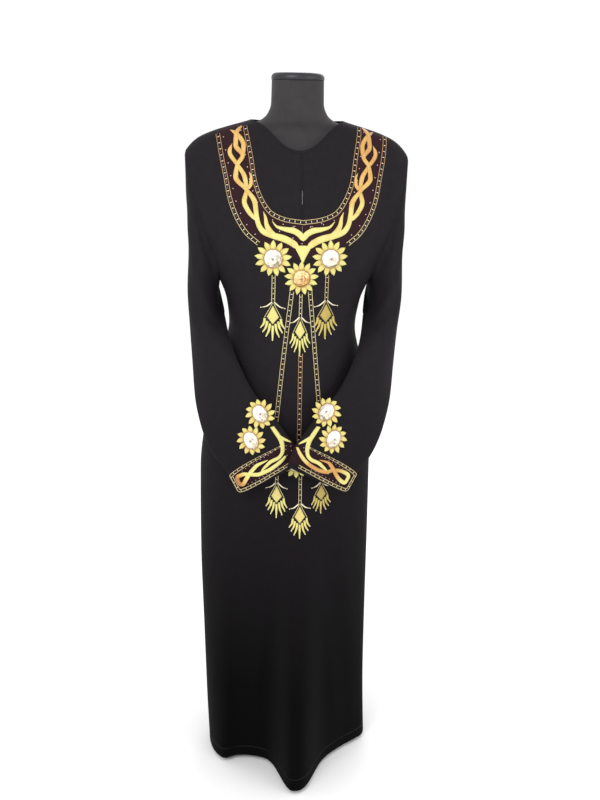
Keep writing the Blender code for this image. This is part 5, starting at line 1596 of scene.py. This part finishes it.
def petal_parts(spot, size, lean, seed, tone):
    """Pointed petals round a seat, each a padded leaf with a furrow along its middle.

    A petal's half width is full at two fifths of its length and falls to a point as a
    cosine, and its crest falls with the fourth root of what is left of its length.
    """
    chance = np.random.default_rng(seed)
    parts = []
    s = np.linspace(0, 1, PETAL_STEPS)
    after = np.clip((s - PETAL_FULL) / (1 - PETAL_FULL), 0, 1) ** PETAL_BLUNT
    shape = np.where(s < PETAL_FULL, 0.8 + 0.2 * np.sin(math.pi / 2 * s / PETAL_FULL),
                     np.cos(math.pi / 2 * after))
    shape = np.maximum(shape, PETAL_TIP)
    half = PETAL_SPREAD * math.pi * size.radius * PETAL_CROWDING / size.petals
    across = half * shape[:, None] * PETAL_SECTION[:, 0]
    crest = PETAL_RISE * np.maximum(1 - s, 0.02) ** 0.25 * (0.75 + 0.25 * shape)
    out = PETAL_LAID + crest[:, None] * PETAL_SECTION[:, 1]
    for place in range(size.petals):
        turn = 2 * math.pi * place / size.petals
        start = np.array(seat_ring(turn, size.seat * PETAL_ROOT, lean))
        tip = np.array([math.sin(turn), math.cos(turn)]) * size.radius
        tip = tip * chance.uniform(*PETAL_LENGTHS)
        aside = chance.uniform(-PETAL_ASIDE, PETAL_ASIDE)
        run = unit(tip - start)
        right = np.array([run[1], -run[0]])
        middle = start + s[:, None] * (tip - start) + right * aside * np.sin(math.pi * s)[:, None]
        places = middle[:, None] + right * across[..., None]
        points, normals = spot(places[..., 0], places[..., 1])
        along = s[:, None] * np.linalg.norm(tip - start) - PETAL_THREAD_SLANT * np.abs(across)
        warm = (tone + chance.uniform(*PETAL_WARMTHS) + PETAL_ROOT_WARMTH * (1 - s) ** 3)[:, None]
        # Painted shade on the petal's sides, by the square of the way across
        warm = np.clip(warm + PETAL_EDGE_SHADE * PETAL_SECTION[:, 0] ** 2, 0, 1)
        parts.append(loft(points + normals * out[..., None], stacked(along, across), warm))
    return parts


def axes_at(spot, size):
    """The middle of a flower on the cloth, and the directions right, up and out there."""
    middle = spot(np.zeros(1), np.zeros(1))[0][0]
    rim = np.array([(0.0, size.seat), (0.0, -size.seat), (size.seat, 0.0), (-size.seat, 0.0)])
    points = spot(rim[:, 0], rim[:, 1])[0]
    up = unit(points[0] - points[1])
    out = unit(np.cross(points[2] - points[3], up))
    return middle, np.cross(up, out), up, out


def ring_in(axes, turns, reach, lean, rise):
    """A flat ring of points on a flower's axes, at a height above the cloth."""
    middle, right, up, out = axes
    u, v = seat_ring(turns, reach, lean)
    return middle + np.outer(u, right) + np.outer(v, up) + out * rise


def seat_parts(spot, size, lean):
    """The felt seat under the stone, and the beaded rim that holds it."""
    axes = axes_at(spot, size)

    def ring(share, rise):
        """A ring of the seat: its size times a share, at a rise above the cloth."""
        return ring_in(axes, turns_of(SEAT_SIDES), size.seat * share, lean, rise)

    felt = loft(np.array([ring(*level) for level in FELT_LEVELS]), None, FELT_WARMTH)
    rim = [ring(1.0 + RIM_WIDE * math.cos(a), RIM_HEIGHT + RIM_THICK * math.sin(a))
           for a in turns_of(RIM_SIDES)]
    return [felt, closed_loop(np.array(rim), 1)]


def stone_part(spot, size, lean):
    """A faceted stone: rings of corners, each turned by half a facet from the last."""
    axes = axes_at(spot, size)
    rings = np.array([
        ring_in(axes, 2 * math.pi * (np.arange(STONE_SIDES) + turn) / STONE_SIDES,
                size.seat * share, lean, STONE_BED + rise * STONE_RISE)
        for share, rise, turn in STONE_LEVELS])
    index = np.arange(len(rings) * STONE_SIDES).reshape(-1, STONE_SIDES)
    tris = []
    for (low, high), (_, _, turn) in zip(zip(index, index[1:]), STONE_LEVELS):
        low_after, high_after = np.roll(low, -1), np.roll(high, -1)
        if turn == 0.0:
            tris += [stacked(low, low_after, high), stacked(low_after, high_after, high)]
        else:
            tris += [stacked(low, high_after, high), stacked(low, low_after, high_after)]
    tris.append(tube_faces(*rings.shape[:2])[1])
    # The share of the way out, held as warmth, sets the painted shade at the stone's middle
    shares = np.repeat([level[0] for level in STONE_LEVELS], STONE_SIDES)
    return as_part(with_ends(rings), (), np.concatenate(tris), None, np.append(shares, [0.9, 0.0]))


def make_flower(name, spot, size, lean, seed, amber, tone):
    """A flower's petals, seat and rim, and its stone with a painted reflection for each facet.

    A painted reflection is a draw, with painted shade for a facet that lies low on one side of the
    stone.
    """
    petals = petal_parts(spot, size, lean, seed, tone) + seat_parts(spot, size, lean)
    piece("flower_%s_petals" % name, petals, [satin, rim_metal], ["flower_" + name])
    material, slot = (amber_stone, "amber_stone") if amber else (clear_stone, "clear_stone")
    gem = piece("stone_%s_cut" % name, [stone_part(spot, size, lean)], [material],
                ["stone_" + name], STONE_SHARP)
    centres = np.array([tuple(face.center) for face in gem.data.polygons])
    middle, right, up, _ = axes_at(spot, size)
    # Painted reflections, with painted shade on the facets that lie low
    low = (centres - middle) @ (FACET_SHADE[0] * right + FACET_SHADE[1] * up) / size.seat
    chance = np.random.default_rng(seed).beta(*FACET_DRAW, len(centres))
    painted_glints = np.clip(FACET_START + FACET_CHANCE * chance + FACET_LOW_SHADE * low, 0, 1)
    gem.data.attributes.new("facet", "FLOAT", "FACE").data.foreach_set("value", painted_glints)


def stiff_spot(side, along, row):
    """A flat seat level with one place of a sleeve, for a flower too stiff to bend with it.

    A point is the place's own, plus the distances times the directions right and up there.
    """
    middle, normal = (found[0] for found in cuff_spot_at(side, [along], [row]))
    up = cuff_point(side, np.array([along]), np.array([row - STIFF_STEP]))[0] - middle
    up = unit(up - normal * np.dot(up, normal))
    right = np.cross(up, normal)

    def spot(u, v):
        """Points on a flat plane: the middle, plus u to the right and v upwards."""
        points = middle + np.multiply.outer(u, right) + np.multiply.outer(v, up)
        return points, np.broadcast_to(normal, points.shape)
    return spot


def make_flowers():
    """The flowers of the front, each on its own place, and two stiff ones on each cuff."""
    for seed, flower in enumerate(FRONT_FLOWERS):
        make_flower(flower.name, shifted(flower.across, flower.height), flower.size, None, seed,
                    flower.name == "chest_middle", 0.0)
    for side, word in SIDES:
        for seed, flower in enumerate(CUFF_FLOWERS):
            spot = stiff_spot(side, flower.along + CUFF_FLOWER_SHIFT[side][seed], flower.row)
            make_flower("cuff_%s_%s" % (word, flower.name), spot, CUFF_FLOWER, side * OVAL_LEAN,
                        CUFF_SEED + 5 * side + seed, False, CUFF_PETAL_WARMTH)


def make_drop(drop):
    """A drop: its beaded stem, two arms, an outlined diamond and seven rays."""
    spot = shifted(drop.across, drop.fork)
    scale = np.array([drop.wide, drop.long])
    stem = stacked(0.0, np.linspace(drop.top + STEM_SPARE - drop.fork, STEM_FOOT, STEM_ROWS))
    warm = {part: start + share * drop.warmth for part, (start, share) in DROP_WARMTHS.items()}
    parts = []
    tips = []

    def scaled(rows, way, step):
        """A row of points times the drop's size, mirrored by the way, in even steps."""
        return even_path(np.array(rows) * scale * (way, 1), step)

    def add_ray(rows, way=1):
        """A ray that swells to its width along scaled rows; its tip."""
        ray = scaled(rows, way, RAY_STEP)
        halves = swell(len(ray), *RAY_ENDS) * RAY_WIDTH / 2 * drop.wide / RAY_WIDTH_AT
        parts.append(strip(spot, ray, halves, DOME, RAY_RISE, LAID, warm["ray"]))
        return ray[-1, :2]

    for way in (-1, 1):
        side = beside(stem, way * STEM_APART * drop.wide)
        parts.append(line(spot, side, LINE_RADIUS, warm["stem"], DROP_CORD))
        edge = scaled(DROP_SIDE, way, SIDE_STEP)
        parts.append(line(spot, edge, LINE_RADIUS, warm["side"], DROP_CORD))
        arm = scaled(DROP_ARM, way, RAY_STEP)
        halves = swell(len(arm), *ARM_ENDS) * ARM_HALF
        parts.append(strip(spot, arm, halves, DOME, ARM_RISE, material=DROP_BEAD))
        tips.append(arm[-1, :2])
        tips += [add_ray(rows, way) for rows in DROP_RAYS]
    tips.append(add_ray(DROP_MIDDLE_RAY))
    top, side, bottom = np.array(DROP_HEART) * scale
    heights = np.append(np.linspace(top[1], side[1], 14), np.linspace(side[1], bottom[1], 10)[1:])
    widths = np.interp(heights, (bottom[1], side[1], top[1]), (HEART_TIP, side[0], HEART_TIP))
    heart = stacked(0.0, heights)
    parts.append(strip(spot, heart, widths, BAND, RAY_RISE, LAID, warm["heart"]))
    top, side, bottom = np.array(DROP_EDGE) * scale
    for way in (-1, 1):
        corner = side * (way, 1)
        path = np.concatenate([np.linspace(top, corner, 14), np.linspace(corner, bottom, 12)[1:]])
        parts.append(line(spot, path, OUTLINE_RADIUS, material=DROP_BAR))
    tip = (TIP_BEAD, TIP_BEAD, TIP_BEAD * FLAT)
    parts.append(studs(spot, tips, LEVEL, tip, 1.0, DROP_BEAD, LAID))
    parts.append(studs(spot, *marks_along(stem, STEM_STEP), STEM_BEAD, BEAD_SQUARE, DROP_BEAD))
    places, runs = marks_along(stem, STEM_STEP, 0.0)
    parts.append(studs(spot, places[1:], runs[1:], STEM_BAR, BAR_SQUARE, DROP_BAR))
    threads = old_gold if drop.warmth > OLD_GOLD_FROM else satin
    piece("drop_%s_stitch" % drop.name, parts, [threads, cord, pale_bead, black_bar],
          ["drop_" + drop.name])


def make_dots():
    """The small beads sewn on the ground, beside the vines and inside the cuffs' bands."""
    parts = []
    for rows, away, step in DOT_ROWS:
        path = beside(even_path(rows, DOT_PATH_STEP), away)
        for side in (-1, 1):
            places, runs = marks_along(on_side(path, side), step, DOT_FIRST)
            parts.append(studs(neckband_spot, places, runs, DOT_SIZE))
    parts.append(studs(neckband_spot, DOTS_MIDDLE, LEVEL, DOT_SIZE))
    piece("dots_chest", parts, [rose_bead], [])
    for side, word in SIDES:
        spot = cuff_spot(side)
        parts = []
        for ends in CUFF_DOT_ROWS:
            path = np.linspace(*(np.array(ends) * (CUFF_SPAN, 1.0)), 40)
            parts.append(studs(spot, *marks_along(path, CUFF_DOT_STEP), CUFF_ROW_DOT))
        parts.append(studs(spot, np.array(CUFF_DOTS) * (CUFF_SPAN, 1.0), LEVEL, CUFF_DOT))
        piece("dots_cuff_" + word, parts, [lilac_bead], [])


# The dress form and its stand

def make_turned(name, profile, node, centre_y=0.0):
    """A turned shape: a profile of (radius, height) pairs carried round an upright axis."""
    radius, height = np.array(profile).T[..., None]
    angle = turns_of(TURNED_SIDES)
    rings = stacked(radius * np.cos(angle), centre_y + radius * np.sin(angle), height)
    piece(name, [loft(rings, stacked(height, radius * angle))], [stand_metal], [node])


def rounded(radius, low, high, edge):
    """A turned slab's outer profile, with its two edges rounded by quarter circles."""
    a = np.linspace(0, math.pi / 2, 7)
    under = [(radius - edge * (1 - math.sin(t)), low + edge * (1 - math.cos(t))) for t in a]
    over = [(radius - edge * (1 - math.cos(t)), high - edge * (1 - math.sin(t))) for t in a]
    return under + over


def make_torso():
    """The form's torso: level rings that are rounded ellipses, through its sections.

    A ring's point is the half width and the depth times the cosine and the sine of its
    angle, each raised to the power 2 / n with its sign kept.
    """
    heights = np.linspace(FORM_SECTIONS[0].height, FORM_SECTIONS[-1].height, FORM_ROWS)[:, None]
    places = column(FORM_SECTIONS, "height")
    half, front, back = (smooth_curve(places, column(FORM_SECTIONS, name), heights)
                         for name in ("half", "front", "back"))
    angle = turns_of(FORM_SIDES)
    across, deep = (np.sign(wave) * np.abs(wave) ** (2 / ROUNDNESS)
                    for wave in (np.cos(angle), np.sin(angle)))
    rings = stacked(half * across, SHOULDER_SEAM_Y + np.where(deep > 0, back, front) * deep, heights)
    torso = loft(rings, stacked(heights, half * angle))
    piece("form_torso_cover", [torso], [form_jersey], ["form_torso"])


def make_stand():
    """The neck cap, the pole, and the base with the collar that holds the pole."""
    top = FORM_SECTIONS[-1].height + SEAM
    cap = [(CAP_RADIUS - CAP_FOOT, top), (CAP_RADIUS, top + CAP_FOOT)]
    cap += [(CAP_RADIUS - CAP_ROUND * (1 - math.cos(t)),
             top + CAP_EDGE + (CAP_HEIGHT - CAP_EDGE) * math.sin(t))
            for t in np.linspace(0, math.pi / 2, 10)]
    make_turned("neck_cap_turned", cap, "neck_cap", SHOULDER_SEAM_Y)
    collar = BASE_HEIGHT + COLLAR_HEIGHT
    base = rounded(BASE_RADIUS, 0.0, BASE_HEIGHT, EDGE_ROUND)
    base += [(COLLAR_RADIUS + COLLAR_FOOT, BASE_HEIGHT + BASE_SLOPE),
             (COLLAR_RADIUS, BASE_HEIGHT + BASE_SLOPE + COLLAR_FOOT),
             (COLLAR_RADIUS * 0.82, collar - COLLAR_ROUND),
             (COLLAR_RADIUS * COLLAR_SHARE - COLLAR_ROUND, collar)]
    make_turned("base_turned", base, "base")
    pole = rounded(POLE_RADIUS, collar + SEAM, FORM_SECTIONS[0].height - SEAM, POLE_ROUND)
    make_turned("pole_turned", pole, "pole")


# Putting it together

panels, panel_normals = make_cloth()
piece("neck_binding_fold", [neck_binding(panels, panel_normals)], [black_crepe],
      ["neck_binding"])
piece("neck_slit", neck_slit(), [black_crepe, slit_glint], [])
piece("hem_stitches", hem_stitches(), [black_bar], [])
make_chains()
make_vines()
make_cuffs()
make_flowers()
for drop in DROPS:
    make_drop(drop)
make_dots()
make_torso()
make_stand()


# The floor, the light and the camera

def make_floor():
    """A pale floor all round, as a flat disc, with a faint mottle between two greys."""
    material, tree, shader = plain_material("pale floor", (0.97, 0.97, 0.97), 0.9)
    mottle = grain_of(tree, 0.02)["Mottle"]
    shade = blend_colours(tree, mottle, rgba((0.965, 0.965, 0.965)), rgba((0.975, 0.975, 0.975)))
    tree.links.new(shade, shader["Base Color"])
    turns = turns_of(64)
    mesh = bpy.data.meshes.new("floor")
    ring = stacked(FLOOR_RADIUS * np.cos(turns), FLOOR_RADIUS * np.sin(turns), FLOOR_HEIGHT)
    mesh.from_pydata(ring, [], [list(range(64))])
    mesh.materials.append(material)
    placed("floor", mesh)


def make_light(name, place, aim, size, power):
    """A round soft light whose face is turned from its place towards its aim."""
    light = bpy.data.lights.new(name, "AREA")
    light.shape = "DISK"
    light.size = size
    light.energy = power
    lamp = placed(name, light)
    lamp.location = place
    lamp.rotation_euler = (Vector(aim) - Vector(place)).to_track_quat("-Z", "Y").to_euler()


def make_world():
    """An even white light from all round."""
    world = bpy.data.worlds.new("soft white room")
    world.use_nodes = True
    background = world.node_tree.nodes["Background"]
    background.inputs[0].default_value = (1, 1, 1, 1)
    background.inputs[1].default_value = ROOM_LIGHT
    bpy.context.scene.world = world


def make_camera():
    """The camera, above chest height and turned a little, looking down at the kaftan."""
    sin_a, cos_a = math.sin(CAMERA_AZIMUTH), math.cos(CAMERA_AZIMUTH)
    sin_p, cos_p = math.sin(CAMERA_PITCH), math.cos(CAMERA_PITCH)
    right = Vector((cos_a, sin_a, 0))
    forward = Vector((-sin_a * cos_p, cos_a * cos_p, -sin_p))
    up = right.cross(forward)
    turned_right = right * math.cos(CAMERA_ROLL) + up * math.sin(CAMERA_ROLL)
    turned_up = up * math.cos(CAMERA_ROLL) - right * math.sin(CAMERA_ROLL)
    place = Vector((CAMERA_DISTANCE * sin_a, -CAMERA_DISTANCE * cos_a, CAMERA_HEIGHT))
    place += right * CAMERA_ASIDE + Vector((0, SHOULDER_SEAM_Y, 0))
    data = bpy.data.cameras.new("camera")
    data.sensor_width = 36
    data.lens = CAMERA_LENS
    camera = placed("camera", data)
    axes = Matrix((turned_right, turned_up, -forward)).transposed()
    camera.matrix_world = Matrix.Translation(place) @ axes.to_4x4()
    bpy.context.scene.camera = camera


bpy.context.scene.view_settings.view_transform = "Standard"
make_floor()
make_world()
make_light("key light", (-1.5, -2.4, 2.6), (0, 0, 1.1), size=1.6, power=38)
make_light("fill light", (2.2, -1.6, 1.7), (0, 0, 0.9), size=1.8, power=14)
make_light("back light", (0.6, 2.4, 2.3), (0, 0, 1.1), size=1.5, power=16)
make_camera()

bpy.context.view_layer.update()
